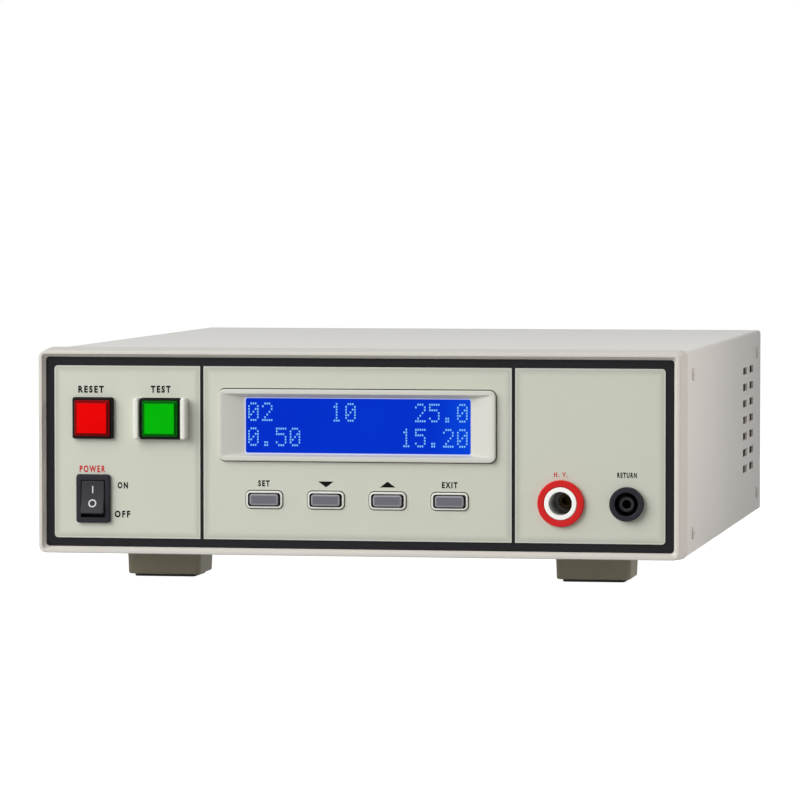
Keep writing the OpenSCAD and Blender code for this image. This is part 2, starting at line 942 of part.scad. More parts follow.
module hv_flange() {
  color([0.8, 0.08, 0.06])
    difference() {
      union() {
        bar_y(hv_x, overlay_y - hv_out, lower_z, hv_flange_r, hv_out);
        bar_y(hv_x, overlay_y - 0.2, lower_z, hv_sleeve_r, hv_sleeve_l + 0.2);
      }
      bar_y(hv_x, overlay_y - hv_out - 1, lower_z, hv_insulator_r + fit_gap / 2, hv_sleeve_l + hv_out + 2);
    }
}

module hv_insulator() {
  front = overlay_y - hv_out - 0.2;
  color([0.94, 0.94, 0.92])
    difference() {
      bar_y(hv_x, front, lower_z, hv_insulator_r, hv_total_l);
      bar_y(hv_x, front - 1, lower_z, hv_bore_r, hv_bore_l + 1);
      bar_y(hv_x, front, lower_z, 3.4 + fit_gap / 2, hv_total_l + 1);
    }
}

contact_y = overlay_y - hv_out - 0.2 + hv_bore_l;

module hv_contact() {
  color(brass)
    difference() {
      union() {
        bar_y(hv_x, contact_y, lower_z, 3.4, hv_total_l - hv_bore_l);
        bar_y(hv_x, contact_y + hv_total_l - hv_bore_l, lower_z, 4.6, 3);
      }
      bar_y(hv_x, contact_y - 1, lower_z, 2, 10);
    }
}

lead_r = 3;
lead_y = contact_y + hv_total_l - hv_bore_l + 3;
lead_end_x = core_x0 - core_x / 2 - coil_out / 2;
lead_end_y = core_y0 - (core_y - leg_y) / 2 + fit_gap;
lead_dx = lead_end_x - hv_x;
lead_dz = core_mid - 6 - lower_z;
lead_shift = sqrt(lead_dx * lead_dx + lead_dz * lead_dz);
lead_turn = atan2(lead_dz, lead_dx);
lead_bend_r = 16;
lead_angle = 40;
lead_side = lead_bend_r * (1 - cos(lead_angle));
lead_mid = (lead_shift - 2 * lead_side) / sin(lead_angle);
lead_start = 70;
bend_y = lead_start + lead_bend_r * sin(lead_angle);
turn_x = lead_side + lead_mid * sin(lead_angle);
turn_y = bend_y + lead_mid * cos(lead_angle);
last_y = turn_y + lead_bend_r * sin(lead_angle);

// One bend of the lead in its shrink sleeve
module lead_bend(x, y, from) {
  translate([x, y, 0])
    rotate([0, 0, from])
      rotate_extrude(angle = lead_angle)
        translate([lead_bend_r, 0])
          circle(lead_r + 0.4);
}

// The lead runs back, steps over in two sleeved bends and meets the front of the winding
module hv_lead() {
  color([0.75, 0.12, 0.1])
    translate([hv_x, lead_y, lower_z])
      rotate([0, -lead_turn, 0])
        union() {
          bar_y(0, 0, 0, lead_r, lead_start + 1);
          lead_bend(lead_bend_r, lead_start, 180 - lead_angle);
          translate([lead_side, bend_y, 0])
            rotate([0, 0, -lead_angle])
              bar_y(0, -1, 0, lead_r, lead_mid + 2);
          lead_bend(turn_x - lead_bend_r * cos(lead_angle), last_y, -lead_angle);
          bar_y(lead_shift, last_y - 1, 0, lead_r, lead_end_y - lead_y - last_y + 1);
        }
}

module return_body() {
  front = overlay_y - return_out;
  color(black)
    difference() {
      union() {
        bar_y(return_x, front, lower_z, return_r, return_out);
        bar_y(return_x, overlay_y - 0.2, lower_z, return_barrel_r, return_barrel_l + 0.2);
      }
      difference() {
        bar_y(return_x, front - 1, lower_z, 5, 17);
        bar_y(return_x, front + 1.5, lower_z, 3.2, 20);
      }
      bar_y(return_x, front - 1, lower_z, 2.6 + fit_gap / 2, return_barrel_l + return_out + 2);
    }
}

module return_contact() {
  front = overlay_y - return_out + 2;
  color(brass)
    difference() {
      bar_y(return_x, front, lower_z, 2.6, return_barrel_l + 4);
      bar_y(return_x, front - 1, lower_z, return_bore_r, return_bore_l + 1);
    }
}

module panel_nuts() {
  color(steel) {
    nut_y(reset_x, back_y, button_z, 20, barrel_hole_r, 3);
    nut_y(test_x, back_y, button_z, 20, barrel_hole_r, 3);
    nut_y(hv_x, back_y, lower_z, 21, hv_sleeve_r + fit_gap / 2, 4);
    nut_y(return_x, back_y, lower_z, 16, return_barrel_r + fit_gap / 2, 3);
  }
}

// Case

module chassis_tray() {
  side_y0 = cover_y + 4;
  side_y1 = rear_in_y - 1;
  post_top = inner_top - 2;
  low = foot_h + flange_h;
  color(steel)
    difference() {
      union() {
        translate([-flange_hw, cover_y, foot_h])
          cube([2 * flange_hw, case_d - bezel_d - seam_gap, tray_t]);
        for (s = [0, 1])
          mirror([s, 0, 0])
            sheet_yz(flange_hw - tray_t, tray_t)
              polygon([[side_y0, foot_h], [side_y1, foot_h], [side_y1, post_top], [side_y1 - 22, post_top],
                [side_y1 - 22, low], [side_front_y + 9, low], [side_front_y + 9, post_top], [side_y0, post_top]]);
      }
      for (s = [-1, 1], y = [side_front_y, side_rear_y], z = [side_low_z, side_high_z])
        bar_x(s * flange_hw - 4, y, z, side_screw_r + thread_gap, 8);
      for (x = [-1, 1], y = [front_y + foot_front, cover_back_y - foot_rear])
        translate([x * foot_span / 2, y, foot_h - 1])
          cylinder(r = 2 + thread_gap, h = 4);
      for (x = [-1, 1], y = [-1, 1])
        translate([core_x0 + x * rail_screw_dx, core_y0 + y * rail_dy, foot_h - 1])
          cylinder(r = 2 + thread_gap, h = 4);
    }
}

module cover_outline(hw, z0, z1, r) {
  translate([-hw, z0])
    square([2 * hw, z1 - r - z0]);
  translate([-hw + r, z0])
    square([2 * (hw - r), z1 - z0]);
  for (x = [-1, 1])
    translate([x * (hw - r), z1 - r])
      circle(r);
}

module top_cover() {
  vent_y = cover_back_y - vent_in;
  color(cover_colour)
    difference() {
      sheet_xz(cover_y, cover_back_y - cover_y)
        difference() {
          cover_outline(cover_hw, foot_h, cover_top, cover_bend_r);
          cover_outline(inner_hw, foot_h - 1, inner_top, cover_bend_r - cover_t);
        }
      for (s = [-1, 1], c = [0 : vent_cols - 1], r = [0 : vent_rows - 1])
        translate([s * cover_hw, vent_y - c * vent_col_pitch, front_z + vent_low + r * vent_row_pitch])
          cube([8 * cover_t, vent_l, vent_h], center = true);
      for (s = [-1, 1], y = [side_front_y, side_rear_y], z = [side_low_z, side_high_z])
        bar_x(s * cover_hw - 4 * cover_t, y, z, side_screw_r + pass_gap, 8 * cover_t);
    }
}

module cover_screws() {
  color(steel)
    for (s = [0, 1], y = [side_front_y, side_rear_y], z = [side_low_z, side_high_z])
      mirror([s, 0, 0])
        translate([cover_hw, y, z])
          rotate([0, 90, 0])
            screw(3.4, side_screw_head, side_screw_r, 7);
}

module rear_panel() {
  low = floor_z + fit_gap;
  high = inner_top - fit_gap;
  bend = cover_bend_r;
  color(cover_colour)
    difference() {
      union() {
        sheet_xz(rear_in_y, layer_t)
          difference() {
            translate([-inner_hw, low])
              square([2 * inner_hw, high - low]);
            for (x = [-1, 1])
              translate([x * inner_hw, high])
                square([2 * bend, 2 * bend], center = true);
          }
        for (s = [0, 1])
          mirror([s, 0, 0])
            translate([flange_hw, rear_in_y - 22, low + 1])
              cube([layer_t, 22.5, high - low - bend - 1.5]);
      }
      for (s = [-1, 1], z = [side_low_z, side_high_z])
        bar_x(s * flange_hw - 3, side_rear_y, z, side_screw_r + pass_gap, 6);
      bar_y(fan_x, rear_in_y - 1, fan_z, fan_bore_r, layer_t + 2);
      for (x = [-1, 1], z = [-1, 1])
        bar_y(fan_x + x * fan_pitch / 2, rear_in_y - 1, fan_z + z * fan_pitch / 2, 2 + pass_gap, layer_t + 2);
      box_xz(inlet_x, inlet_z, inlet_w + 2 * fit_gap, inlet_h + 2 * fit_gap, rear_in_y - 1, layer_t + 2, 0.5);
      bar_y(stud_x, rear_in_y - 1, stud_z, stud_base_r + thread_gap, layer_t + 2);
      for (z = [-1, 1])
        box_xz(signal_x, mid_z + z * signal_dz, signal_w + 2 * fit_gap, signal_h + 2 * fit_gap,
          rear_in_y - 1, layer_t + 2, 1);
    }
}

// Feet

module at_feet() {
  for (x = [-1, 1], y = [front_y + foot_front, cover_back_y - foot_rear])
    translate([x * foot_span / 2, y, 0])
      children();
}

module feet() {
  color([0.42, 0.4, 0.34])
    at_feet()
      difference() {
        hull() {
          translate([0, 0, foot_h - 1])
            linear_extrude(1)
              rounded_rect(foot_w, foot_l, 3, $fn = 32);
          translate([0, 0, pad_t + foot_edge])
            linear_extrude(1)
              rounded_rect(foot_w - foot_draft, foot_l - foot_draft, 3, $fn = 32);
          translate([0, 0, pad_t])
            linear_extrude(1)
              rounded_rect(sole_w, sole_l, 3 - foot_edge, $fn = 32);
        }
        translate([0, 0, pad_t - 1])
          cylinder(r = 4.2, h = 6);
        cylinder(r = 2 + pass_gap, h = foot_h + 1);
      }
}

module foot_pads() {
  color([0.05, 0.05, 0.05])
    at_feet()
      linear_extrude(pad_t)
        rounded_rect(foot_w - 6, foot_l - 6, 2);
}

module foot_screws() {
  color(steel)
    at_feet()
      translate([0, 0, pad_t + 5])
        rotate([180, 0, 0])
          screw(3.6, 2.4, 2, foot_h - pad_t - 5 + tray_t - 0.2);
}

// Transformer

module transformer_core() {
  window_y = (core_y - 2 * leg_y) / 2;
  color([0.3, 0.31, 0.33])
    translate([core_x0, core_y0, core_mid])
      difference() {
        cube([core_x, core_y, core_z], center = true);
        for (s = [-1, 1])
          translate([0, s * (leg_y + window_y) / 2, 0])
            cube([core_x + 2, window_y, coil_z], center = true);
      }
}

module transformer_winding() {
  window_y = (core_y - 2 * leg_y) / 2;
  color([0.82, 0.66, 0.2])
    translate([core_x0, core_y0, core_mid - coil_z / 2 + fit_gap])
      linear_extrude(coil_z - 2 * fit_gap)
        difference() {
          rounded_rect(core_x + 2 * coil_out, leg_y + 2 * window_y - 2 * fit_gap, 6);
          square([core_x + 2 * fit_gap, leg_y + 2 * fit_gap], center = true);
        }
}

module transformer_rails() {
  color(steel)
    for (y = [-1, 1])
      translate([core_x0, core_y0 + y * rail_dy, floor_z])
        difference() {
          translate([-rail_screw_dx - 6, -8, 0])
            cube([2 * rail_screw_dx + 12, 16, rail_h]);
          for (x = [-1, 1])
            translate([x * rail_screw_dx, 0, -1])
              cylinder(r = 2 + pass_gap, h = rail_h + 2);
        }
}

// Main board

module main_board() {
  color(board_green)
    translate([board_x, board_y, board_low])
      linear_extrude(board_t)
        difference() {
          square([board_w, board_d], center = true);
          for (x = [-1, 1], y = [-1, 1])
            translate([x * standoff_dx, y * standoff_dy])
              circle(1.5 + pass_gap);
        }
}

module standoffs() {
  color(brass)
    for (x = [-1, 1], y = [-1, 1])
      translate([board_x + x * standoff_dx, board_y + y * standoff_dy, floor_z])
        difference() {
          cylinder(r = 3.2, h = standoff_h, $fn = 6);
          translate([0, 0, 1])
            cylinder(r = 1.5 + thread_gap, h = standoff_h);
        }
}

module inner_screws() {
  color(steel) {
    for (x = [-1, 1], y = [-1, 1])
      translate([board_x + x * standoff_dx, board_y + y * standoff_dy, board_top])
        screw(2.8, 2, 1.5, 6);
    for (x = [-1, 1], y = [-1, 1])
      translate([core_x0 + x * rail_screw_dx, core_y0 + y * rail_dy, core_low])
        screw(3.6, 2.4, 2, rail_h + tray_t - 0.2);
  }
}

// Reservoir capacitors, relays, supply transformer, processor and bridge rectifier on the main board
module main_board_parts() {
  u = board_w / 65;
  v = board_d / 80;
  w = part_h / 17;
  translate([board_x, board_y, board_top]) {
    color([0.12, 0.14, 0.3])
      for (i = [0 : 2])
        translate([(-22.5 + i * 12) * u, 29 * v, 0])
          cylinder(r = 4.5 * min(u, v), h = 16 * w);
    color([0.9, 0.9, 0.88])
      for (i = [0 : 3])
        translate([12.5 * u, (-20 + i * 11) * v, 0])
          cube([14 * u, 6 * v, 8 * w]);
    color([0.32, 0.3, 0.28])
      translate([-25 * u, 2 * v, 0])
        cube([22 * u, 18 * v, 17 * w]);
    color(black) {
      translate([-17 * u, -23 * v, 0])
        cube([8 * u, 8 * v, w]);
      translate([15 * u, 24 * v, 0])
        cube([10 * u, 2.5 * v, 9 * w]);
      for (i = [0 : 3])
        translate([(-26 + i * 7) * u, -9 * v, 0])
          cube([4 * u, 9 * v, 1.7 * w]);
    }
    color([0.92, 0.92, 0.9])
      for (i = [0 : 2])
        translate([(-23 + i * 17) * u, -38 * v, 0])
          cube([12 * u, 4 * v, 4.5 * w]);
  }
}

// Heat sink

module heat_sink() {
  fins = 8;
  fin_t = 2;
  step = (sink_h - fin_t) / (fins - 1);
  color([0.72, 0.73, 0.74])
    translate([sink_x, sink_y, floor_z])
      union() {
        translate([-sink_base, 0, 0])
          cube([sink_base, sink_l, sink_h]);
        for (i = [0 : fins - 1])
          translate([-sink_base - fin_l, 0, i * step])
            cube([fin_l + 1, sink_l, fin_t]);
      }
}

module power_transistors() {
  color(black)
    for (i = [0 : 3])
      translate([sink_x, sink_y + (i + 0.5) * sink_l / 4 - transistor_w / 2, floor_z + transistor_up])
        cube([sink_base - 1, transistor_w, transistor_h]);
}

// Fan

module fan_frame() {
  color(black)
    translate([fan_x, fan_y, fan_z])
      rotate([-90, 0, 0])
        difference() {
          union() {
            difference() {
              linear_extrude(fan_d)
                rounded_rect(fan_w, fan_w, 3);
              translate([0, 0, -1])
                cylinder(r = fan_bore_r, h = fan_d + 2);
            }
            cylinder(r = hub_r - 1, h = 3);
            for (a = [0, 90])
              rotate([0, 0, a + 45])
                translate([-fan_bore_r - 1, -1.5, 0])
                  cube([2 * fan_bore_r + 2, 3, 3]);
          }
          translate([0, 0, -1])
            cylinder(r = 1.5 + thread_gap, h = 6);
          for (x = [-1, 1], y = [-1, 1])
            translate([x * fan_pitch / 2, y * fan_pitch / 2, -1])
              cylinder(r = 2 + thread_gap, h = fan_d + 2);
        }
}

module fan_rotor() {
  color([0.12, 0.12, 0.13])
    translate([fan_x, fan_y, fan_z])
      rotate([-90, 0, 0])
        union() {
          translate([0, 0, 0.5])
            cylinder(r = 1.5, h = 6);
          translate([0, 0, 3.5])
            cylinder(r = hub_r, h = fan_d - 10);
          for (i = [0 : blades - 1])
            rotate([0, 0, i * 360 / blades])
              translate([hub_r - 1.5, 0, fan_d / 2 - 1.5])
                rotate([40, 0, 0])
                  translate([0, -0.8, -7])
                    cube([fan_bore_r - hub_r, 1.6, 14]);
        }
}

module fan_guard() {
  color(steel)
    translate([fan_x, 0, fan_z])
      sheet_xz(rear_y, guard_wire)
        difference() {
          union() {
            for (r = [8, 14.5, 21, 27.5])
              difference() {
                circle(r + guard_wire / 2);
                circle(r - guard_wire / 2);
              }
            for (a = [45, 135])
              rotate(a)
                square([fan_pitch * sqrt(2), 3], center = true);
            for (x = [-1, 1], z = [-1, 1])
              translate([x * fan_pitch / 2, z * fan_pitch / 2])
                circle(4.5);
          }
          for (x = [-1, 1], z = [-1, 1])
            translate([x * fan_pitch / 2, z * fan_pitch / 2])
              circle(2 + pass_gap);
        }
}

module fan_screws() {
  color(steel)
    for (x = [-1, 1], z = [-1, 1])
      translate([fan_x + x * fan_pitch / 2, rear_y + guard_wire, fan_z + z * fan_pitch / 2])
        rotate([-90, 0, 0])
          screw(3.6, 2, 2, 12);
}

// Rear connectors

module inlet_body() {
  flange_w = inlet_w + 2 * inlet_rim;
  flange_h = inlet_h + 2 * inlet_rim_h;
  color(black)
    difference() {
      union() {
        box_xz(inlet_x, inlet_z, flange_w, flange_h, rear_y, inlet_out, 2);
        box_xz(inlet_x, inlet_z, inlet_w, inlet_h, rear_y - inlet_l, inlet_l + 0.5, 0.5);
      }
      translate([inlet_x, 0, socket_z])
        sheet_xz(rear_y + inlet_out - 17, 18)
          polygon([[-12, -8], [12, -8], [12, 4.5], [8.5, 8], [-8.5, 8], [-12, 4.5]]);
      box_xz(inlet_x, drawer_z, drawer_w + 2 * fit_gap, drawer_h + 2 * fit_gap,
             rear_y + inlet_out - 20, 21, 0.3);
    }
}

module inlet_pins() {
  color(steel)
    for (p = [[-7, 0], [7, 0], [0, 4]])
      translate([inlet_x + p[0] - 1, rear_y + inlet_out - 17, socket_z + p[1] - 2])
        cube([2, 15, 4]);
}

module fuse_drawer() {
  color(black)
    union() {
      box_xz(inlet_x, drawer_z, drawer_w, drawer_h, rear_y + inlet_out - 19, 19.2, 0.3);
      box_xz(inlet_x, drawer_z, drawer_w + 2.4, drawer_h + 1.8, rear_y + inlet_out, 1.6, 0.8);
      translate([inlet_x - 6, rear_y + inlet_out + 1.5, drawer_z + 2])
        cube([12, 1.6, 1.6]);
    }
}

module signal_connector(z) {
  translate([signal_x, 0, z])
    difference() {
      union() {
        sheet_xz(rear_y, 1)
          rounded_rect(signal_flange_w, signal_flange_h, 1.5);
        sheet_xz(rear_y + 0.5, 5.5)
          polygon([[-8.4, 4.2], [8.4, 4.2], [7, -4.2], [-7, -4.2]]);
        sheet_xz(rear_in_y - 8, layer_t + 8.5)
          rounded_rect(signal_w, signal_h, 1);
        for (s = [-1, 1])
          translate([s * jack_pitch / 2, rear_y + 0.5, 0])
            rotate([-90, 0, 0])
              cylinder(r = 2.7, h = 5, $fn = 6);
      }
      for (i = [0 : 4])
        bar_y(-5.5 + i * 2.75, rear_y + 2, 1.4, 0.6, 6);
      for (i = [0 : 3])
        bar_y(-4.1 + i * 2.75, rear_y + 2, -1.4, 0.6, 6);
    }
}

module signal_connectors() {
  color(steel)
    for (z = [-1, 1])
      signal_connector(mid_z + z * signal_dz);
}

module ground_stud() {
  color(brass)
    union() {
      bar_y(stud_x, rear_in_y - 6, stud_z, stud_base_r, layer_t + 6 + stud_base_out);
      bar_y(stud_x, rear_y, stud_z, stud_r, stud_out);
    }
}

module ground_nuts() {
  color(brass) {
    nut_y(stud_x, rear_in_y - 4, stud_z, 10, stud_base_r + thread_gap, 4);
    nut_y(stud_x, rear_y, stud_z, 10, stud_base_r + thread_gap, 4);
  }
}

front_bezel();
front_panel();
overlay_left();
overlay_centre();
overlay_right();
panel_screws();
display_surround();
display_frame();
display_glass();
display_board();
board_spacers();
spacer_screws();
key_board();
key_switches();
key_rings();
key_set();
key_down();
key_up_cap();
key_exit();
reset_housing();
reset_lens();
test_guard();
test_housing();
test_lens();
contact_blocks();
power_housing();
power_rocker();
hv_flange();
hv_insulator();
hv_contact();
hv_lead();
return_body();
return_contact();
panel_nuts();
chassis_tray();
top_cover();
cover_screws();
rear_panel();
feet();
foot_pads();
foot_screws();
transformer_core();
transformer_winding();
transformer_rails();
main_board();
main_board_parts();
standoffs();
inner_screws();
heat_sink();
power_transistors();
fan_frame();
fan_rotor();
fan_guard();
fan_screws();
inlet_body();
inlet_pins();
fuse_drawer();
signal_connectors();
ground_stud();
ground_nuts();
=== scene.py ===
import math

import bmesh
import bpy
from mathutils import Matrix, Vector


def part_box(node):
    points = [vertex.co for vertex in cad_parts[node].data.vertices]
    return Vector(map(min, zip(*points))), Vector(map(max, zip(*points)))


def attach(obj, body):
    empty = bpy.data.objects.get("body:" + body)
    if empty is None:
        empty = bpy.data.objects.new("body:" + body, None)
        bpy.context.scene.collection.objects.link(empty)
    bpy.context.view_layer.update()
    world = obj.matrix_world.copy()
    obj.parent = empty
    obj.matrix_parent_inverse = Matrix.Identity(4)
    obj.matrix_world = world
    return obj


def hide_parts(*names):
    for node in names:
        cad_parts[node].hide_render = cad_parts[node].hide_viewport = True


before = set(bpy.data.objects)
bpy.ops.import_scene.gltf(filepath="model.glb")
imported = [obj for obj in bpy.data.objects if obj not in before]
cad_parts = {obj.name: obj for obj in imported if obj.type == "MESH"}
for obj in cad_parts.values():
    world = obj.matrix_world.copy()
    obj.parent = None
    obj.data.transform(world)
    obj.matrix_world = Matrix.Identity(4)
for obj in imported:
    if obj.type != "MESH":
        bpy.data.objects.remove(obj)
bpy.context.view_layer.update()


# Studio. A pale paper floor runs white to the horizon under the tester. Soft lamps stand to the left, above, to the
# right and low at the back, and a long lens looks at the front from a little above and to the right.
class Shade:
    """A socket of a material's nodes, so that shader maths reads as arithmetic."""

    def __init__(self, tree, socket=None):
        self.tree = tree
        self.socket = socket

    def add(self, kind, settings=None, values=None, out=0):
        """Adds a node with its settings and its sockets' values or links, and returns one of its outputs."""
        node = self.tree.nodes.new("ShaderNode" + kind)
        for name, value in (settings or {}).items():
            setattr(node, name, value)
        for name, value in (values or {}).items():
            if isinstance(value, Shade):
                self.tree.links.new(value.socket, node.inputs[name])
            else:
                node.inputs[name].default_value = value
        return Shade(self.tree, node.outputs[out])

    def maths(self, operation, a, b=0.0):
        return self.add("Math", {"operation": operation}, {0: a, 1: b})

    def __add__(self, other):
        return self.maths("ADD", self, other)

    __radd__ = __add__

    def __sub__(self, other):
        return self.maths("SUBTRACT", self, other)

    def __rsub__(self, other):
        return self.maths("SUBTRACT", other, self)

    def __mul__(self, other):
        return self.maths("MULTIPLY", self, other)

    __rmul__ = __mul__


def screen_colour(red, green, blue):
    """A colour as seen on a screen, 0 to 255, as the linear one that shaders take."""
    return (*(c / 3294.6 if c < 11 else ((c / 255 + 0.055) / 1.055) ** 2.4 for c in (red, green, blue)), 1.0)


def new_finish(name):
    material = bpy.data.materials.new(name)
    material.use_nodes = True
    return material, Shade(material.node_tree)


def coat(material, values):
    """Sets or links the sockets of a material's shader."""
    shader = material.node_tree.nodes["Principled BSDF"]
    for name, value in values.items():
        if isinstance(value, Shade):
            material.node_tree.links.new(value.socket, shader.inputs[name])
        else:
            shader.inputs[name].default_value = value
    return material


def blend(tree, factor, first, second):
    """A colour that goes from first to second as factor goes from 0 to 1."""
    return tree.add("Mix", {"data_type": "RGBA"}, {0: factor, 6: first, 7: second}, 2)


def seen_directly(tree):
    """1 for what the camera, a reflection or a clear piece shows, and 0 for light on its way to the object."""
    rays = [tree.add("LightPath", out=ray) for ray in ("Is Camera Ray", "Is Glossy Ray", "Is Transmission Ray")]
    return tree.maths("MAXIMUM", rays[0], tree.maths("MAXIMUM", rays[1], rays[2]))


studio = bpy.data.worlds.new("studio")
bpy.context.scene.world = studio
studio.use_nodes = True
walls = Shade(studio.node_tree)
wall_light = 0.19
backdrop = studio.node_tree.nodes["Background"]
backdrop.inputs["Color"].default_value = (1, 1, 1, 1)
studio.node_tree.links.new((wall_light + (1 - wall_light) * seen_directly(walls)).socket, backdrop.inputs["Strength"])

floor_half = 60
paper, tree = new_finish("floor_paper")
fibres = tree.add("TexNoise", values={"Vector": tree.add("TexCoord", out="Object"), "Scale": 40, "Detail": 4})
coat(paper, {"Base Color": blend(tree, fibres, (0.42, 0.42, 0.42, 1), (0.46, 0.46, 0.46, 1)),
             "Roughness": 1.0, "Specular IOR Level": 0.0,
             "Emission Color": blend(tree, seen_directly(tree), (0, 0, 0, 1), (1, 1, 1, 1)), "Emission Strength": 0.93})
bm = bmesh.new()
bmesh.ops.create_grid(bm, x_segments=1, y_segments=1, size=floor_half)
floor_mesh = bpy.data.meshes.new("floor")
bm.to_mesh(floor_mesh)
bm.free()
floor_mesh.materials.append(paper)
floor = bpy.data.objects.new("floor", floor_mesh)
bpy.context.scene.collection.objects.link(floor)

for name, place, aim, size, power, tint in (
        ("left_lamp", (-1.2, -1.5, 1.0), (0, -0.18, 0.06), (1.8, 1.8), 49.0, (1, 1, 1)),
        ("top_lamp", (-0.3, -0.1, 2.4), (0, 0, 0.1), (1.6, 1.6), 13.5, (1, 1, 1)),
        ("right_lamp", (0.48, -0.19, 0.18), (0.14, -0.15, 0.08), (0.12, 0.12), 0.66, (1, 0.9, 0.83)),
        ("back_lamp", (-0.065, 0.9, 0.05), (0, 0.17, 0.05), (0.13, 0.06), 3.2, (1, 1, 1))):
    lamp = bpy.data.lights.new(name, "AREA")
    lamp.shape = "RECTANGLE"
    lamp.size, lamp.size_y = size
    lamp.energy = power
    lamp.color = tint
    stand = bpy.data.objects.new(name, lamp)
    stand.location = place
    stand.rotation_euler = (Vector(aim) - Vector(place)).to_track_quat("-Z", "Y").to_euler()
    bpy.context.scene.collection.objects.link(stand)

camera = bpy.data.objects.new("camera", bpy.data.cameras.new("camera"))
camera.data.lens = 218.4
camera.data.sensor_width = 36
camera.location = (0.3702, -2.2294, 0.1715)
camera.rotation_euler = (math.radians(87.521), 0, math.radians(9.721))
bpy.context.scene.collection.objects.link(camera)
bpy.context.scene.camera = camera
bpy.context.scene.view_settings.view_transform = "Standard"


# Chassis tray. Bent from zinc-plated sheet, it carries the feet, the boards and the transformer, and the cover's
# side screws are driven into its flanges. The plating shows small crystals and faint rolling lines.
def grain(tree, size, detail=2.0, stretch=(1, 1, 1)):
    """Noise from 0 to 1 on the piece's own coordinates, with features of about that size in millimetres."""
    place = tree.add("Mapping", values={"Vector": tree.add("TexCoord", out="Object"),
                                        "Scale": [1000 * s / size for s in stretch]})
    return tree.add("TexNoise", values={"Vector": place, "Scale": 1.0, "Detail": detail, "Roughness": 0.55})


def tone(tree, factor, shade, spread):
    """The colour, from a darker to a lighter tone of itself as factor goes from 0 to 1."""
    dark = (*(c * (1 - spread) for c in shade[:3]), 1)
    light = (*(min(1.0, c * (1 + spread)) for c in shade[:3]), 1)
    return blend(tree, factor, dark, light)


def bump(tree, height, depth):
    """The normal of a surface whose height varies by depth millimetres."""
    return tree.add("Bump", values={"Height": height, "Distance": depth / 1000, "Strength": 1.0})


def bare_metal(name, shade, rough, size, stretch=(1, 1, 1)):
    """A metal with drawn or rolled lines and faint stains."""
    material, tree = new_finish(name)
    lines = grain(tree, size, 3.0, stretch)
    stains = grain(tree, 18)
    return coat(material, {"Base Color": tone(tree, 0.6 * lines + 0.4 * stains, shade, 0.14), "Metallic": 1.0,
                           "Roughness": rough - 0.12 + 0.16 * lines + 0.1 * stains,
                           "Normal": bump(tree, lines, 0.004)})


def dress(finish, *nodes):
    """Gives nodes of the CAD model their finish."""
    for node in nodes:
        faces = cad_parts[node].data.materials
        faces.clear()
        faces.append(finish)


zinc, tree = new_finish("zinc_plating")
crystals = tree.add("TexVoronoi", {"feature": "F1"}, {"Vector": tree.add("TexCoord", out="Object"), "Scale": 260})
rolled = grain(tree, 0.6, 3.0, (0.06, 1, 1))
coat(zinc, {"Base Color": tone(tree, 0.6 * crystals + 0.4 * rolled, (0.50, 0.51, 0.52, 1), 0.2), "Metallic": 1.0,
            "Roughness": 0.3 + 0.14 * crystals + 0.1 * rolled, "Normal": bump(tree, rolled, 0.006)})
dress(zinc, "chassis_tray")


# Feet. Four moulded blocks, a little narrower towards the table, with rounded corners and a softened lower rim.
# Each is held by one screw through the tray, and a rubber pad stuck on below hides the screw.
def soften(bm, edges, radius, steps=3):
    """Rounds edges by a radius."""
    bmesh.ops.bevel(bm, geom=list(edges), offset=radius, offset_type="OFFSET", segments=steps, profile=0.5,
                    affect="EDGES", material=-1, clamp_overlap=True)


def edges_along(bm, axis):
    """The straight edges that run along an axis, 0 for X, 1 for Y or 2 for Z."""
    return [e for e in bm.edges if abs((e.verts[0].co - e.verts[1].co).normalized()[axis]) > 0.95]


def underside(bm):
    """The lowest face."""
    return min(bm.faces, key=lambda f: f.calc_center_median().z)


def block(low, high):
    """A bmesh block between two corners, in millimetres."""
    bm = bmesh.new()
    low, high = Vector(low), Vector(high)
    shape = Matrix.Translation((low + high) / 2) @ Matrix.Diagonal((*(high - low), 1))
    bmesh.ops.create_cube(bm, size=1, matrix=shape)
    bm.normal_update()
    return bm


def join(bm, other):
    """Moves the faces of another bmesh into bm."""
    mesh = bpy.data.meshes.new("joined")
    other.to_mesh(mesh)
    other.free()
    bm.from_mesh(mesh)
    bpy.data.meshes.remove(mesh)


def box_mm(node):
    """The lowest and highest corner of a CAD node in millimetres."""
    low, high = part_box(node)
    return 1000 * low, 1000 * high


def four_places(low, high, width, depth):
    """The middles, seen from above, of four blocks of a width and depth in the corners of a box."""
    return [(x, y) for x in (low.x + width / 2, high.x - width / 2) for y in (low.y + depth / 2, high.y - depth / 2)]


def place_piece(name, bm, finishes, body, stands_for=()):
    """Makes a bmesh in millimetres a piece of the object in metres, which rides on a body."""
    bmesh.ops.scale(bm, vec=(0.001, 0.001, 0.001), verts=bm.verts)
    mesh = bpy.data.meshes.new(name)
    bm.to_mesh(mesh)
    bm.free()
    mesh.shade_smooth()
    mesh.set_sharp_from_angle(angle=math.radians(33))
    for finish in finishes:
        mesh.materials.append(finish)
    piece = bpy.data.objects.new(name, mesh)
    bpy.context.scene.collection.objects.link(piece)
    even = piece.modifiers.new("even_light", "WEIGHTED_NORMAL")
    even.keep_sharp = True
    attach(piece, body)
    if stands_for:
        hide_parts(*stands_for)


def moulded(name, shade, rough, size, depth, spread=0.05, **constants):
    """A moulding or paint with a fine texture, a faint cloudiness and an uneven sheen."""
    material, tree = new_finish(name)
    texture = grain(tree, size)
    clouds = grain(tree, 45)
    values = {"Base Color": tone(tree, 0.5 * texture + 0.5 * clouds, shade, spread),
              "Roughness": rough - 0.1 + 0.14 * texture + 0.06 * clouds, "Normal": bump(tree, texture, depth)}
    values.update({key.replace("_", " "): value for key, value in constants.items()})
    return coat(material, values)


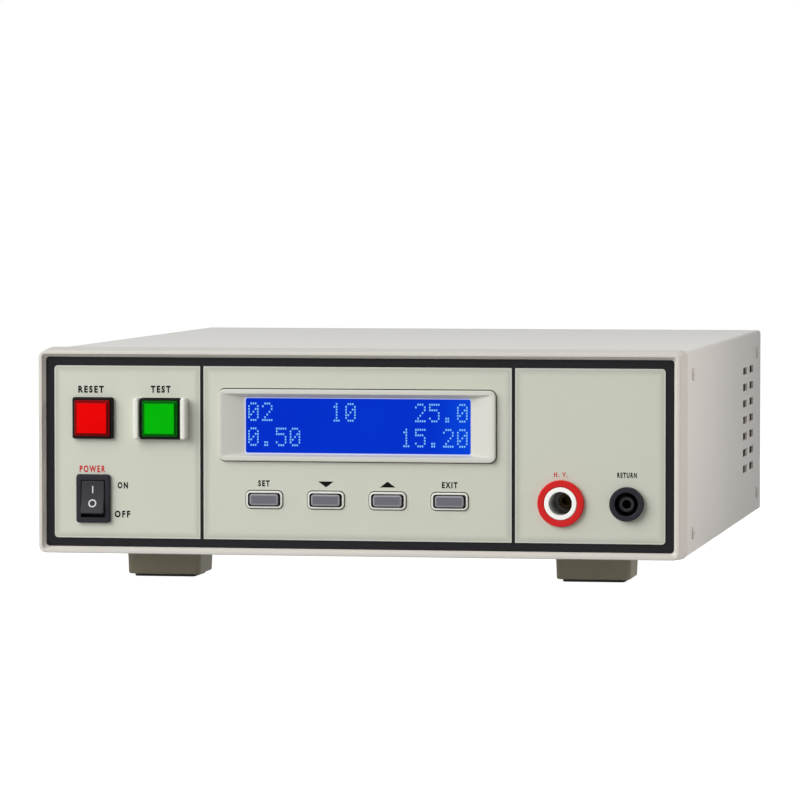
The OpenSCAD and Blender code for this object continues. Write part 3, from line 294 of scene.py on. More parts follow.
foot_moulding = moulded("foot_moulding", screen_colour(140, 133, 112), 0.62, 0.5, 0.02)
foot_w, foot_d, foot_draft = 33.5, 30.0, 0.9
narrower = ((foot_w - foot_draft) / foot_w, (foot_d - foot_draft) / foot_d, 1)
low, high = box_mm("feet")
feet = bmesh.new()
for x, y in four_places(low, high, foot_w, foot_d):
    foot = block((x - foot_w / 2, y - foot_d / 2, low.z), (x + foot_w / 2, y + foot_d / 2, high.z))
    bmesh.ops.scale(foot, vec=narrower, verts=list(underside(foot).verts), space=Matrix.Translation((-x, -y, 0)))
    soften(foot, edges_along(foot, 2), 3.0, 6)
    soften(foot, underside(foot).edges, 0.8, 4)
    join(feet, foot)
place_piece("moulded_feet", feet, [foot_moulding], "case", ["feet"])

rubber = moulded("pad_rubber", screen_colour(38, 38, 35), 0.85, 0.35, 0.03, 0.12)
pad_w, pad_d = 27.5, 24.0
low, high = box_mm("foot_pads")
pads = bmesh.new()
for x, y in four_places(low, high, pad_w, pad_d):
    pad = block((x - pad_w / 2, y - pad_d / 2, low.z), (x + pad_w / 2, y + pad_d / 2, high.z))
    soften(pad, edges_along(pad, 2), 2.0, 5)
    soften(pad, underside(pad).edges, 0.35, 2)
    join(pads, pad)
place_piece("rubber_pads", pads, [rubber], "case", ["foot_pads"])
dress(zinc, "foot_screws")


# High-voltage transformer. A stack of varnished laminations stands on two zinc-plated rails, and its winding is
# wrapped in yellow tape. Screws through the rails hold it on the tray, and a red sheathed lead leaves its front.
def along(tree, axis):
    """The place along one axis of the piece's own coordinates, in millimetres."""
    return 1000.0 * tree.add("SeparateXYZ", values={"Vector": tree.add("TexCoord", out="Object")}, out=axis)


lamination_t, wraps_per_mm = 0.7, 0.11
varnish, tree = new_finish("varnished_laminations")
layers = 0.5 + 0.5 * tree.maths("SINE", along(tree, "X") * (math.tau / lamination_t))
drips = grain(tree, 6, 3.0)
coat(varnish, {"Base Color": tone(tree, 0.7 * layers + 0.3 * drips, (0.075, 0.07, 0.07, 1), 0.45), "Metallic": 0.6,
               "Roughness": 0.3 + 0.25 * drips, "Normal": bump(tree, layers, 0.03)})
dress(varnish, "transformer_core")

tape, tree = new_finish("winding_tape")
wraps = tree.maths("FRACT", along(tree, "Z") * wraps_per_mm + 0.03 * grain(tree, 20))
creases = grain(tree, 2.5, 3.0, (1, 1, 0.2))
coat(tape, {"Base Color": tone(tree, 0.6 * wraps + 0.4 * creases, (0.60, 0.42, 0.08, 1), 0.3),
            "Roughness": 0.28 + 0.2 * creases, "Normal": bump(tree, wraps + 0.4 * creases, 0.06)})
dress(tape, "transformer_winding")
dress(zinc, "transformer_rails", "inner_screws")
dress(moulded("lead_sheath", screen_colour(190, 44, 40), 0.5, 0.8, 0.01), "hv_lead")


# Main board. Green solder mask over copper tracks, on four hexagonal brass standoffs, with sleeved capacitors,
# pale relays, a potted supply transformer, black chips and pale connectors soldered to it.
solder_mask, tree = new_finish("solder_mask")
tracks = tree.add("TexBrick", {"offset": 0.37, "offset_frequency": 3},
                  {"Vector": tree.add("TexCoord", out="Object"), "Color1": (0.012, 0.075, 0.03, 1),
                   "Color2": (0.016, 0.095, 0.036, 1), "Mortar": (0.03, 0.16, 0.06, 1), "Scale": 90.0,
                   "Mortar Size": 0.05})
weave = grain(tree, 0.4)
coat(solder_mask, {"Base Color": tracks, "Roughness": 0.25 + 0.15 * weave, "Normal": bump(tree, weave, 0.01)})
dress(solder_mask, "main_board")

brass = bare_metal("turned_brass", (0.62, 0.42, 0.14, 1), 0.32, 0.5, (1, 0.15, 1))
dress(brass, "standoffs")

board_parts, tree = new_finish("board_parts")
low, high = box_mm("main_board")
board_middle = (low + high) / 2
across = along(tree, "X") - board_middle.x
back = along(tree, "Y") - board_middle.y
relays = tree.maths("GREATER_THAN", across, 24.0) * tree.maths("LESS_THAN", back, 44.0)
supply = tree.maths("LESS_THAN", across, -4.0) * tree.maths("GREATER_THAN", back, 2.0)
capacitors = tree.maths("LESS_THAN", across, 14.0) * tree.maths("GREATER_THAN", back, 46.0)
connectors = tree.maths("LESS_THAN", back, -62.0)
marks = grain(tree, 1.5, 3.0)
paint_job = tone(tree, marks, (0.02, 0.02, 0.022, 1), 0.3)
for group, shade in ((relays, (0.72, 0.72, 0.69, 1)), (supply, (0.07, 0.065, 0.06, 1)),
                     (capacitors, (0.015, 0.02, 0.09, 1)), (connectors, (0.75, 0.74, 0.68, 1))):
    paint_job = blend(tree, group, paint_job, tone(tree, marks, shade, 0.12))
coat(board_parts, {"Base Color": paint_job, "Roughness": 0.38 + 0.2 * marks, "Normal": bump(tree, marks, 0.02)})
dress(board_parts, "main_board_parts")


# Heat sink. Extruded aluminium with long fins against the left wall, and four black power transistors on its base.
# The extrusion shows drawing lines along its length.
dress(bare_metal("extruded_aluminium", (0.62, 0.63, 0.65, 1), 0.36, 0.5, (1, 0.03, 1)), "heat_sink")
black_moulding = moulded("black_moulding", screen_colour(28, 28, 35), 0.46, 0.4, 0.008, 0.12, Specular_IOR_Level=0.16)
dress(black_moulding, "power_transistors")


# Rear panel. Sheet steel in the same fine textured paint as the cover, set a little inside the cover's rear edge.
# The paint is a warm light grey with a slight orange peel.
case_paint, tree = new_finish("case_paint")
peel = grain(tree, 0.9)
specks = grain(tree, 0.25, 1.0)
clouds = grain(tree, 70)
mottle = 0.3 * peel + 0.3 * specks + 0.4 * clouds
coat(case_paint, {"Base Color": tone(tree, mottle, screen_colour(209, 208, 205), 0.045),
                  "Roughness": 0.42 + 0.12 * peel + 0.06 * clouds, "Specular IOR Level": 0.2,
                  "Normal": bump(tree, peel + 0.35 * specks, 0.012)})
dress(case_paint, "rear_panel")


# Cooling fan. A black moulded frame and seven-bladed rotor behind a guard of bright plated wire rings, held by four
# screws through the rear panel.
dress(black_moulding, "fan_frame", "fan_rotor")
dress(bare_metal("plated_wire", (0.72, 0.73, 0.75, 1), 0.2, 0.8), "fan_guard")
dress(zinc, "fan_screws")


# Mains inlet. A black moulding snapped into the rear panel with three plated pins in its socket and a fuse drawer
# below, which pulls straight out.
dress(black_moulding, "inlet_body", "fuse_drawer")
nickel = bare_metal("nickel_plating", (0.58, 0.56, 0.52, 1), 0.26, 0.6)
dress(nickel, "inlet_pins")


# Signal connectors and ground stud. Two nine-way shells of plated steel and, beside the inlet, a brass stud with a
# nut on each side of the panel.
dress(nickel, "signal_connectors")
dress(brass, "ground_stud", "ground_nuts")


# Front plate and overlays. A black painted plate rests on the ledge inside the bezel. Three pale films are stuck on
# it and leave a black band round the edge and two black dividers.
def past_outline(tree, low, high):
    """How far a point lies outside a box, seen from the front, in millimetres. It is negative inside the box."""
    beyond = [tree.maths("ABSOLUTE", along(tree, axis) - (low[i] + high[i]) / 2) - (high[i] - low[i]) / 2
              for i, axis in ((0, "X"), (2, "Z"))]
    return tree.maths("MAXIMUM", *beyond)


def ramp(tree, value, start, end, curve="SMOOTHSTEP"):
    """A smooth rise from 0 at start to 1 at end."""
    return tree.add("MapRange", {"interpolation_type": curve}, {"Value": value, "From Min": start, "From Max": end})


plate_paint = moulded("plate_paint", screen_colour(28, 27, 30), 0.5, 0.5, 0.006, 0.1, Specular_IOR_Level=0.1)
dress(plate_paint, "front_panel")
# The films' second colour is painted shade towards their edges, and the third is a painted highlight along their
# outermost edge.
pale_film, edge_shade_film, edge_highlight_film = (screen_colour(200, 202, 188), screen_colour(174, 176, 163),
                                    screen_colour(196, 198, 188))
for node in ("overlay_left", "overlay_centre", "overlay_right"):
    film, tree = new_finish(node + "_film")
    emboss = grain(tree, 0.3, 1.0)
    clouds = grain(tree, 60)
    border = past_outline(tree, *box_mm(node))
    # Painted shade darkens each film over its last few millimetres, and a painted highlight lightens its outermost half
    # millimetre.
    rim_shadow = ramp(tree, border, -4.2, 1.0, "SMOOTHERSTEP")
    flat = tone(tree, 0.35 * emboss + 0.65 * clouds, pale_film, 0.03)
    edge_light_and_shade = blend(tree, rim_shadow * (0.8 + 0.4 * clouds), flat, edge_shade_film)
    coat(film, {"Base Color": blend(tree, ramp(tree, border, -0.8, -0.4), edge_light_and_shade, edge_highlight_film),
                "Roughness": 0.5 + 0.12 * emboss, "Specular IOR Level": 0.25, "Normal": bump(tree, emboss, 0.004)})
    dress(film, node)
dress(zinc, "panel_screws")


# Legends. Printed on the overlays in a narrow, widely spaced black or red lettering, with a filled triangle above
# each of the two arrow keys.
print_lift = 0.03
overlay_y = box_mm("overlay_centre")[0].y
print_y = overlay_y - print_lift
upright = Matrix.Rotation(math.pi / 2, 4, "X")


def lettering(words, x, z, width, height, weight):
    """Flat letters that fill a box on the overlays, as a bmesh in millimetres. Weight thickens their strokes."""
    line = bpy.data.curves.new("legend", "FONT")
    line.body = words
    line.space_character = 1.4
    line.resolution_u = 4
    line.offset = weight
    holder = bpy.data.objects.new("legend", line)
    bpy.context.scene.collection.objects.link(holder)
    mesh = bpy.data.meshes.new_from_object(holder.evaluated_get(bpy.context.evaluated_depsgraph_get()))
    bpy.data.objects.remove(holder)
    bm = bmesh.new()
    bm.from_mesh(mesh)
    bpy.data.meshes.remove(mesh)
    (left, right), (bottom, top) = [(min(v.co[i] for v in bm.verts), max(v.co[i] for v in bm.verts)) for i in (0, 1)]
    bmesh.ops.translate(bm, vec=(-(left + right) / 2, -(bottom + top) / 2, 0), verts=bm.verts)
    bmesh.ops.scale(bm, vec=(width / (right - left), height / (top - bottom), 1), verts=bm.verts)
    bmesh.ops.transform(bm, matrix=Matrix.Translation((x, print_y, z)) @ upright, verts=bm.verts)
    return bm


black_ink = moulded("black_ink", screen_colour(14, 14, 14), 0.55, 0.3, 0.004, 0.15, Specular_IOR_Level=0.05)
black_weight, arrow_w, arrow_h = 0.048, 6.8, 2.5
legends = bmesh.new()
for words, x, z, width, height in (("RESET", -117.1, 85.1, 11.4, 3.1), ("TEST", -86.2, 85.3, 8.8, 3.1),
                                   ("ON", -103.1, 43.5, 4.6, 2.9), ("OFF", -103.3, 31.0, 6.9, 3.0),
                                   ("SET", -40.7, 45.0, 5.1, 2.7), ("EXIT", 40.5, 45.0, 6.8, 2.7),
                                   ("RETURN", 117.0, 50.0, 8.4, 2.3)):
    join(legends, lettering(words, x, z, width, height, black_weight))
for x, z, way in ((-13.5, 44.8, -1), (13.5, 45.0, 1)):
    arrow = [legends.verts.new((x + arrow_w * side, print_y, z + arrow_h * up * way))
             for side, up in ((-0.5, -0.5), (0.5, -0.5), (0, 0.5))]
    legends.faces.new(arrow if way > 0 else arrow[::-1])
place_piece("black_legends", legends, [black_ink], "case")

red_ink = moulded("red_ink", screen_colour(196, 22, 26), 0.55, 0.3, 0.004, 0.1, Specular_IOR_Level=0.05)
red_weight = 0.035
legends = bmesh.new()
for words, x, z, width, height in (("POWER", -116.6, 50.5, 11.4, 3.0), ("H. V.", 88.5, 50.0, 5.8, 2.1)):
    join(legends, lettering(words, x, z, width, height, red_weight))
place_piece("red_legends", legends, [red_ink], "case")


# Display. A pale moulded surround with a flat rim and sloped inner faces stands through the overlay. Behind it a
# metal frame holds the blue backlit glass on its board, which is screwed to brass spacers, and two lines of pale
# dots make up plain numbers.
def front_face(bm):
    """The foremost face that looks to the front."""
    bm.normal_update()
    return min((f for f in bm.faces if f.normal.y < -0.99),
               key=lambda f: (round(f.calc_center_median().y, 3), -f.calc_area()))


def rear_face(bm):
    """The rearmost face that looks to the back."""
    bm.normal_update()
    return max((f for f in bm.faces if f.normal.y > 0.99),
               key=lambda f: (round(f.calc_center_median().y, 3), f.calc_area()))


def front_block(low, high, corner, rim, corner_steps=6, rim_steps=3):
    """A block whose four edges along Y are rounded by corner, and whose front rim is rounded by rim."""
    bm = block(low, high)
    soften(bm, edges_along(bm, 1), corner, corner_steps)
    soften(bm, front_face(bm).edges, rim, rim_steps)
    return bm


def step(bm, face, inset, out):
    """Insets a face and moves what is left of it out, or in where out is negative."""
    bmesh.ops.inset_region(bm, faces=[face], thickness=max(inset, 0.001), depth=out, use_even_offset=True)


def resize(bm, face, width, height):
    """Stretches a face that looks along Y to a width and height."""
    xs = [v.co.x for v in face.verts]
    zs = [v.co.z for v in face.verts]
    bmesh.ops.scale(bm, vec=(width / (max(xs) - min(xs)), 1, height / (max(zs) - min(zs))), verts=list(face.verts),
                    space=Matrix.Translation(-face.calc_center_bounds()))


def draw_in(bm, face, width, height, out):
    """Insets a face and draws what is left of it to a width and height, and out."""
    step(bm, face, 0, 0)
    resize(bm, face, width, height)
    bmesh.ops.translate(bm, vec=face.normal * out, verts=list(face.verts))


def open_through(bm, front, rear):
    """Takes out a front and a rear face and joins their edges with a wall."""
    rims = list(front.edges) + list(rear.edges)
    bmesh.ops.delete(bm, geom=[front, rear], context="FACES_ONLY")
    bmesh.ops.bridge_loops(bm, edges=rims)
    bmesh.ops.recalc_face_normals(bm, faces=bm.faces)


def creases_at(bm, y):
    """The sharp edges that lie at one depth."""
    bm.normal_update()
    return [e for e in bm.edges if all(abs(v.co.y - y) < 0.002 for v in e.verts) and e.calc_face_angle(0) > 0.55]


pale_moulding = moulded("pale_moulding", screen_colour(205, 204, 195), 0.5, 0.35, 0.008, 0.035,
                        Specular_IOR_Level=0.3)
window_w, window_h, window_drop = 99.0, 24.5, 0.45
rim_w, slope_d, seat_d, skirt_in, skirt_d = 1.5, 3.4, 0.5, 2.4, 1.4
low, high = box_mm("display_surround")
surround = front_block(low, (high.x, overlay_y + seat_d, high.z), 2.8, 0.5, 8)
face, back = front_face(surround), rear_face(surround)
step(surround, face, rim_w, 0)
draw_in(surround, face, window_w, window_h, -slope_d)
bmesh.ops.translate(surround, vec=(0, 0, -window_drop), verts=list(face.verts))
step(surround, back, skirt_in, 0)
step(surround, back, 0, skirt_d)
open_through(surround, face, back)
soften(surround, creases_at(surround, low.y), 0.25, 2)
place_piece("display_surround_moulding", surround, [pale_moulding], "case", ["display_surround"])
dress(zinc, "display_frame", "spacer_screws")
dress(solder_mask, "display_board")
dress(brass, "board_spacers")

field_hw, field_hh, field_drop = 48.3, 10.95, 0.3
lit_glass, tree = new_finish("lit_glass")
corner = [tree.maths("MAXIMUM", tree.maths("ABSOLUTE", along(tree, axis) - middle) - half, 0.0)
          for axis, middle, half in (("X", 0, field_hw), ("Z", (low.z + high.z) / 2 - field_drop, field_hh))]
leak = ramp(tree, tree.maths("SQRT", corner[0] * corner[0] + corner[1] * corner[1]), 0.75, 1.05)
glow = ramp(tree, along(tree, "X"), 30, 49)
haze = grain(tree, 30)
blue = blend(tree, 0.35 * haze + 0.5 * glow, screen_colour(1, 40, 194), screen_colour(6, 74, 222))
coat(lit_glass, {"Base Color": (0.0, 0.002, 0.02, 1), "Roughness": 0.2 + 0.1 * haze, "Specular IOR Level": 0.012,
                 "Emission Color": blend(tree, leak, blue, screen_colour(205, 212, 238)), "Emission Strength": 1.0})
dress(lit_glass, "display_glass")

GLYPHS = {
    "0": "01110 10001 10011 10101 11001 10001 01110", "1": "00100 01100 00100 00100 00100 00100 01110",
    "2": "01110 10001 00001 00010 00100 01000 11111", "5": "11111 10000 11110 00001 00001 10001 01110",
    ".": "00000 00000 00000 00000 00000 01100 01100",
}
lit_dots, tree = new_finish("lit_dots")
flicker = grain(tree, 4)
coat(lit_dots, {"Base Color": (0.05, 0.08, 0.1, 1), "Roughness": 0.4 + 0.1 * flicker, "Specular IOR Level": 0.05,
                "Emission Color": tone(tree, flicker, screen_colour(110, 182, 238), 0.15), "Emission Strength": 1.0})
letter_pitch, first_x, dot_pitch_x, dot_pitch_z, dot_lift = 6.09, -45.8, 0.97, 1.19, 0.04
dot_size = Matrix.Diagonal((0.63, 0.80, 1, 1))
dots_y = box_mm("display_glass")[0].y - dot_lift
dots = bmesh.new()
for words, line_z in (("02    10    25.0", 75.8), ("0.50       15.20", 65.0)):
    for column, letter in enumerate(words):
        for row, bits in enumerate(GLYPHS.get(letter, "").split()):
            for place, bit in enumerate(bits):
                if bit == "1":
                    spot = (first_x + letter_pitch * column + dot_pitch_x * (place - 2), dots_y,
                            line_z + dot_pitch_z * (3 - row))
                    bmesh.ops.create_grid(dots, x_segments=1, y_segments=1, size=0.5,
                                          matrix=Matrix.Translation(spot) @ upright @ dot_size)
place_piece("display_dots", dots, [lit_dots], "case")


# Keys. Four grey caps with softened edges slide in pale rings on the overlay. Each ring has a dark well, and a
# switch on the key board behind the plate pushes its key back out.
def seat(node):
    """The lowest and highest corner of a CAD node, and the X and Z of its middle, in millimetres."""
    low, high = box_mm(node)
    return low, high, (low.x + high.x) / 2, (low.z + high.z) / 2


def around(x, z, width, height, front, rear):
    """The two corners of a box of a width and height about X and Z, from its front to its rear."""
    return Vector((x - width / 2, front, z - height / 2)), Vector((x + width / 2, rear, z + height / 2))


def rod(x, z, front, rear, radius, sides):
    """A round bar along Y, from its front to its rear."""
    bm = bmesh.new()
    bmesh.ops.create_cone(bm, cap_ends=True, segments=sides, radius1=radius, radius2=radius, depth=rear - front,
                          matrix=Matrix.Translation((x, (front + rear) / 2, z)) @ upright)
    return bm


ring_moulding = moulded("ring_moulding", screen_colour(222, 221, 213), 0.45, 0.35, 0.008, 0.03,
                        Specular_IOR_Level=0.3)
# The second grey is a painted highlight along the caps' softened edges.
cap_grey, highlight_grey = screen_colour(99, 97, 107), screen_colour(148, 147, 152)
cap_w, cap_h, overlap, collar_w, collar_h, collar_in, collar_t = 12.4, 4.8, 0.2, 14.6, 7.4, 2.2, 1.0
stem_r, stem_l = 1.5, 3.4
ring_w, ring_h, ring_out, ring_in, front_band, rear_band = 15.9, 7.5, 0.8, 0.48, 0.5, 0.3
well_d, hole_w, hole_h = 1.1, 13.2, 6.0
rings = bmesh.new()
for node, body in (("key_set", "set_key"), ("key_down", "down_key"), ("key_up_cap", "up_key"),
                   ("key_exit", "exit_key")):
    low, high, x, z = seat(node)
    collar_y = overlay_y + collar_in
    cap_box = around(x, z, cap_w, cap_h, low.y, collar_y + overlap)
    key_plastic, tree = new_finish(node + "_plastic")
    texture = grain(tree, 0.3)
    # Painted highlight: within about a millimetre of its outline, each cap turns to the paler grey.
    edge_light_and_shade = ramp(tree, past_outline(tree, *cap_box), -0.85, -0.35)
    coat(key_plastic, {"Base Color": blend(tree, edge_light_and_shade, tone(tree, texture, cap_grey, 0.06), highlight_grey),
                       "Roughness": 0.4 + 0.14 * texture, "Specular IOR Level": 0.3,
                       "Normal": bump(tree, texture, 0.006)})
    cap = front_block(*cap_box, 1.0, 0.5, 6, 4)
    collar = block(*around(x, z, collar_w, collar_h, collar_y, collar_y + collar_t))
    soften(collar, edges_along(collar, 1), 1.0, 4)
    join(cap, collar)
    join(cap, rod(x, z, high.y - stem_l, high.y, stem_r, 24))
    place_piece(node + "_moulding", cap, [key_plastic], body, [node])

    ring = front_block(*around(x, z, ring_w, ring_h, overlay_y - ring_out, overlay_y + ring_in), 2.0, 0.3)
    face, back = front_face(ring), rear_face(ring)
    step(ring, face, front_band, 0)
    outside = set(ring.faces)
    step(ring, face, 0, -well_d)
    draw_in(ring, face, hole_w, hole_h, 0)
    step(ring, back, rear_band, 0)
    draw_in(ring, back, hole_w, hole_h, 0)
    open_through(ring, face, back)
    for wall in ring.faces:
        wall.material_index = 0 if wall in outside else 1
    join(rings, ring)
place_piece("key_ring_mouldings", rings, [ring_moulding, black_moulding], "case", ["key_rings"])
dress(solder_mask, "key_board")
dress(black_moulding, "key_switches")


# Push buttons. A square translucent lens with a raised face slides in a black housing: red for reset, green for
# test. The test button stands between the two rounded bars of a pale guard that is clamped under its housing.
def lens_plastic(node, shade, recess_shade):
    """Translucent coloured plastic: its own colour on its raised face, and a darker colour on the step round it as
    painted shade.
    """
    material, tree = new_finish(node + "_plastic")
    swirl = grain(tree, 7)
    # Painted shade: the step round the raised face takes the second, darker colour.
    edge = ramp(tree, past_outline(tree, *box_mm(node)), -1.6, -1.05)
    return coat(material, {"Base Color": blend(tree, edge, tone(tree, swirl, shade, 0.08), recess_shade),
                           "Roughness": 0.24 + 0.1 * swirl, "Specular IOR Level": 0.03,
                           "Normal": bump(tree, swirl, 0.01)})


# The second colour of each lens is painted shade on its recessed step.
red_lens = lens_plastic("reset_lens", screen_colour(231, 1, 2), screen_colour(128, 10, 13))
green_lens = lens_plastic("test_lens", screen_colour(1, 180, 4), screen_colour(5, 98, 14))
housing_black = moulded("housing_black", screen_colour(13, 12, 13), 0.5, 0.4, 0.008, 0.12, Specular_IOR_Level=0.1)
flange_w, flange_t, opening_w, opening_d, barrel_r = 18.0, 2.4, 16.1, 2.0, 8.0
lens_w, lens_t, face_foot_w, face_w, face_out, stem_r, overlap = 15.6, 2.2, 13.9, 13.4, 0.8, 5.0, 0.1
for node, lens_node, body, lens, slot in (("reset_housing", "reset_lens", "reset_button", red_lens, "red_lens"),
                                          ("test_housing", "test_lens", "test_button", green_lens, "green_lens")):
    low, high, x, z = seat(node)
    housing = front_block(*around(x, z, flange_w, flange_w, low.y, low.y + flange_t), 0.9, 0.5)
    face = front_face(housing)
    draw_in(housing, face, opening_w, opening_w, 0)
    step(housing, face, 0, -opening_d)
    barrel = rod(x, z, low.y + flange_t - overlap, high.y, barrel_r, 40)
    soften(barrel, rear_face(barrel).edges, 0.6, 2)
    join(housing, barrel)
    place_piece(node + "_moulding", housing, [housing_black], "case", [node])

    low, high = box_mm(lens_node)
    cap = front_block(*around(x, z, lens_w, lens_w, low.y + face_out, low.y + lens_t), 0.7, 0.35)
    face = front_face(cap)
    draw_in(cap, face, face_foot_w, face_foot_w, 0)
    draw_in(cap, face, face_w, face_w, face_out)
    soften(cap, face.edges, 0.3, 4)
    join(cap, rod(x, z, low.y + lens_t - overlap, high.y, stem_r, 32))
    place_piece(lens_node + "_moulding", cap, [lens], body, [lens_node])

bar_w, plate_t = 2.4, 0.8
low, high = box_mm("test_guard")
guard = front_block((low.x + bar_w / 2, high.y - plate_t, low.z), (high.x - bar_w / 2, high.y, high.z), 0.5, 0.2)
for x in (low.x, high.x - bar_w):
    join(guard, front_block((x, low.y, low.z), (x + bar_w, high.y, high.z), 1.1, 0.8, 8, 6))
place_piece("test_guard_moulding", guard, [ring_moulding], "case", ["test_guard"])
dress(black_moulding, "contact_blocks")
dress(zinc, "panel_nuts")


# Power switch. A black snap-in frame with a black rocker, which is drawn level about its pivot and then tipped to
# the on side, with a white bar on its upper half and a white ring on its lower half.
window_w, window_h, window_d, body_w, body_h, body_l = 10.8, 16.2, 8.0, 12.8, 18.6, 21.8
tab_w, tab_t, tab_pitch, tab_in = 4.8, 0.8, 10.0, 0.3
low, high, x, z = seat("power_housing")
switch_frame = front_block(low, (high.x, overlay_y, high.z), 1.2, 0.6)
face = front_face(switch_frame)
draw_in(switch_frame, face, window_w, window_h, 0)
step(switch_frame, face, 0, -window_d)
back = rear_face(switch_frame)
draw_in(switch_frame, back, body_w, body_h, 0)
step(switch_frame, back, 0, body_l)
for tab_z in (z - tab_pitch / 2, z + tab_pitch / 2):
    join(switch_frame, block(*around(x, tab_z, tab_w, tab_t, overlay_y + body_l - tab_in, high.y)))
place_piece("power_housing_moulding", switch_frame, [black_moulding], "case", ["power_housing"])

rocker_w, half_l, valley_y, crest_y, end_y, heel_y, heel_half = 10.2, 7.2, -3.9, -4.8, -1.0, 3.2, 2.4
pin_r, pin_l, pivot_in, on_angle = 1.25, 12.4, 3.6, math.radians(-9)
tip = Matrix.Translation((x, low.y + pivot_in, z)) @ Matrix.Rotation(on_angle, 4, "X")
rocker = bmesh.new()
cheek = rocker.faces.new([rocker.verts.new((-rocker_w / 2, side_y, side_z)) for side_y, side_z in (
    (valley_y, 0), (crest_y, half_l), (end_y, half_l), (heel_y, heel_half), (heel_y, -heel_half), (end_y, -half_l),
    (crest_y, -half_l))])
made = bmesh.ops.extrude_face_region(rocker, geom=[cheek])["geom"]
bmesh.ops.translate(rocker, vec=(rocker_w, 0, 0), verts=[v for v in made if isinstance(v, bmesh.types.BMVert)])
bmesh.ops.recalc_face_normals(rocker, faces=rocker.faces)
at_front = [e for e in rocker.edges if min(v.co.y for v in e.verts) < valley_y + 0.1]
soften(rocker, [e for e in at_front if e.calc_face_angle(0) > 0.5], 0.45, 4)
pin = bmesh.new()
bmesh.ops.create_cone(pin, cap_ends=True, segments=24, radius1=pin_r, radius2=pin_r, depth=pin_l,
                      matrix=Matrix.Rotation(math.pi / 2, 4, "Y"))
join(rocker, pin)
bmesh.ops.transform(rocker, matrix=tip, verts=rocker.verts)
rocker_plastic = moulded("rocker_plastic", screen_colour(33, 32, 39), 0.42, 0.4, 0.008, 0.1, Specular_IOR_Level=0.2)
place_piece("power_rocker_moulding", rocker, [rocker_plastic], "rocker", ["power_rocker"])

mark_lift, bar_w, bar_l, circle_r, circle_line = 0.03, 0.5, 3.0, 1.5, 0.52
rise = valley_y - crest_y
lean = math.atan2(rise, half_l)
bar = bmesh.new()
bmesh.ops.create_grid(bar, x_segments=1, y_segments=1, size=0.5, matrix=upright @ Matrix.Diagonal((bar_w, bar_l, 1, 1)))
circle = bmesh.new()
arc = [circle.verts.new((r, 0, 0)) for r in (circle_r - circle_line / 2, circle_r + circle_line / 2)]
bmesh.ops.spin(circle, geom=arc + [circle.edges.new(arc)], cent=(0, 0, 0), axis=(0, 1, 0), angle=math.tau, steps=32,
               use_merge=True)
marks = bmesh.new()
for mark, mark_z, slope in ((bar, 3.3, lean), (circle, -2.7, -lean)):
    bmesh.ops.recalc_face_normals(mark, faces=mark.faces)
    mark.normal_update()
    bmesh.ops.reverse_faces(mark, faces=[f for f in mark.faces if f.normal.y > 0])
    spot = Matrix.Translation((0, valley_y - rise * abs(mark_z) / half_l - mark_lift, mark_z))
    bmesh.ops.transform(mark, matrix=tip @ spot @ Matrix.Rotation(slope, 4, "X"), verts=mark.verts)
    join(marks, mark)
white_ink = moulded("white_ink", screen_colour(206, 206, 206), 0.5, 0.3, 0.004, 0.08)
place_piece("rocker_marks", marks, [white_ink], "rocker")


# Output sockets. The high-voltage socket is a red flange round a waxy white insulator with a deep bore and a brass
# contact at its end. The return socket is a black shroud round a plated spring contact.
def turned(x, z, outline, steps=64):
    """A ring turned about an axis along Y from a closed outline of radius and depth."""
    bm = bmesh.new()
    rim = [bm.verts.new((x + radius, y, z)) for radius, y in outline]
    loop = [bm.edges.new(pair) for pair in zip(rim, rim[1:] + rim[:1])]
    bmesh.ops.spin(bm, geom=rim + loop, cent=(x, 0, z), axis=(0, 1, 0), angle=math.tau, steps=steps, use_merge=True)
    bmesh.ops.recalc_face_normals(bm, faces=bm.faces)
    return bm


flange_r, sleeve_r, hole_r = 10.0, 8.0, 7.1
low, high, x, z = seat("hv_flange")
flange = turned(x, z, ((hole_r, low.y), (flange_r, low.y), (flange_r, overlay_y), (sleeve_r, overlay_y),
                       (sleeve_r, high.y), (hole_r, high.y)))
soften(flange, creases_at(flange, low.y), 0.45, 4)
flange_red = moulded("flange_red", screen_colour(206, 32, 32), 0.4, 0.6, 0.006, 0.06, Specular_IOR_Level=0.15)
place_piece("hv_flange_moulding", flange, [flange_red], "case", ["hv_flange"])

insulator_r, bore_r, contact_r, bore_l, margin = 7.0, 5.0, 3.5, 20.0, 0.04
low, high = box_mm("hv_insulator")
insulator = turned(x, z, ((bore_r, low.y), (insulator_r, low.y), (insulator_r, high.y), (contact_r, high.y),
                          (contact_r, low.y + bore_l), (bore_r, low.y + bore_l)))
soften(insulator, creases_at(insulator, low.y), 0.3, 4)
waxy_white, tree = new_finish("waxy_white")
off_x, off_z = along(tree, "X") - x, along(tree, "Z") - z
# Painted shade: inside the bore the white turns dark brown with depth and towards its far wall.
inside = tree.maths("LESS_THAN", tree.maths("SQRT", off_x * off_x + off_z * off_z), bore_r + margin)
recess_shade = ramp(tree, along(tree, "Y") - low.y, 2.0, 38.0)
far_wall_shade = ramp(tree, off_x, -2.0, 4.0)
wax = grain(tree, 5)
bore_shading = blend(tree, inside * tree.maths("MINIMUM", recess_shade + 0.7 * far_wall_shade, 1.0),
             tone(tree, wax, screen_colour(246, 246, 242), 0.02), tone(tree, wax, screen_colour(26, 22, 18), 0.2))
coat(waxy_white, {"Base Color": bore_shading, "Roughness": 0.4 + 0.12 * wax, "Normal": bump(tree, wax, 0.008)})
place_piece("hv_insulator_moulding", insulator, [waxy_white], "case", ["hv_insulator"])
# The contact is brass in a very dark tone.
dress(bare_metal("dark_brass", (0.05, 0.032, 0.018, 1), 0.45, 0.5, (1, 0.15, 1)), "hv_contact")

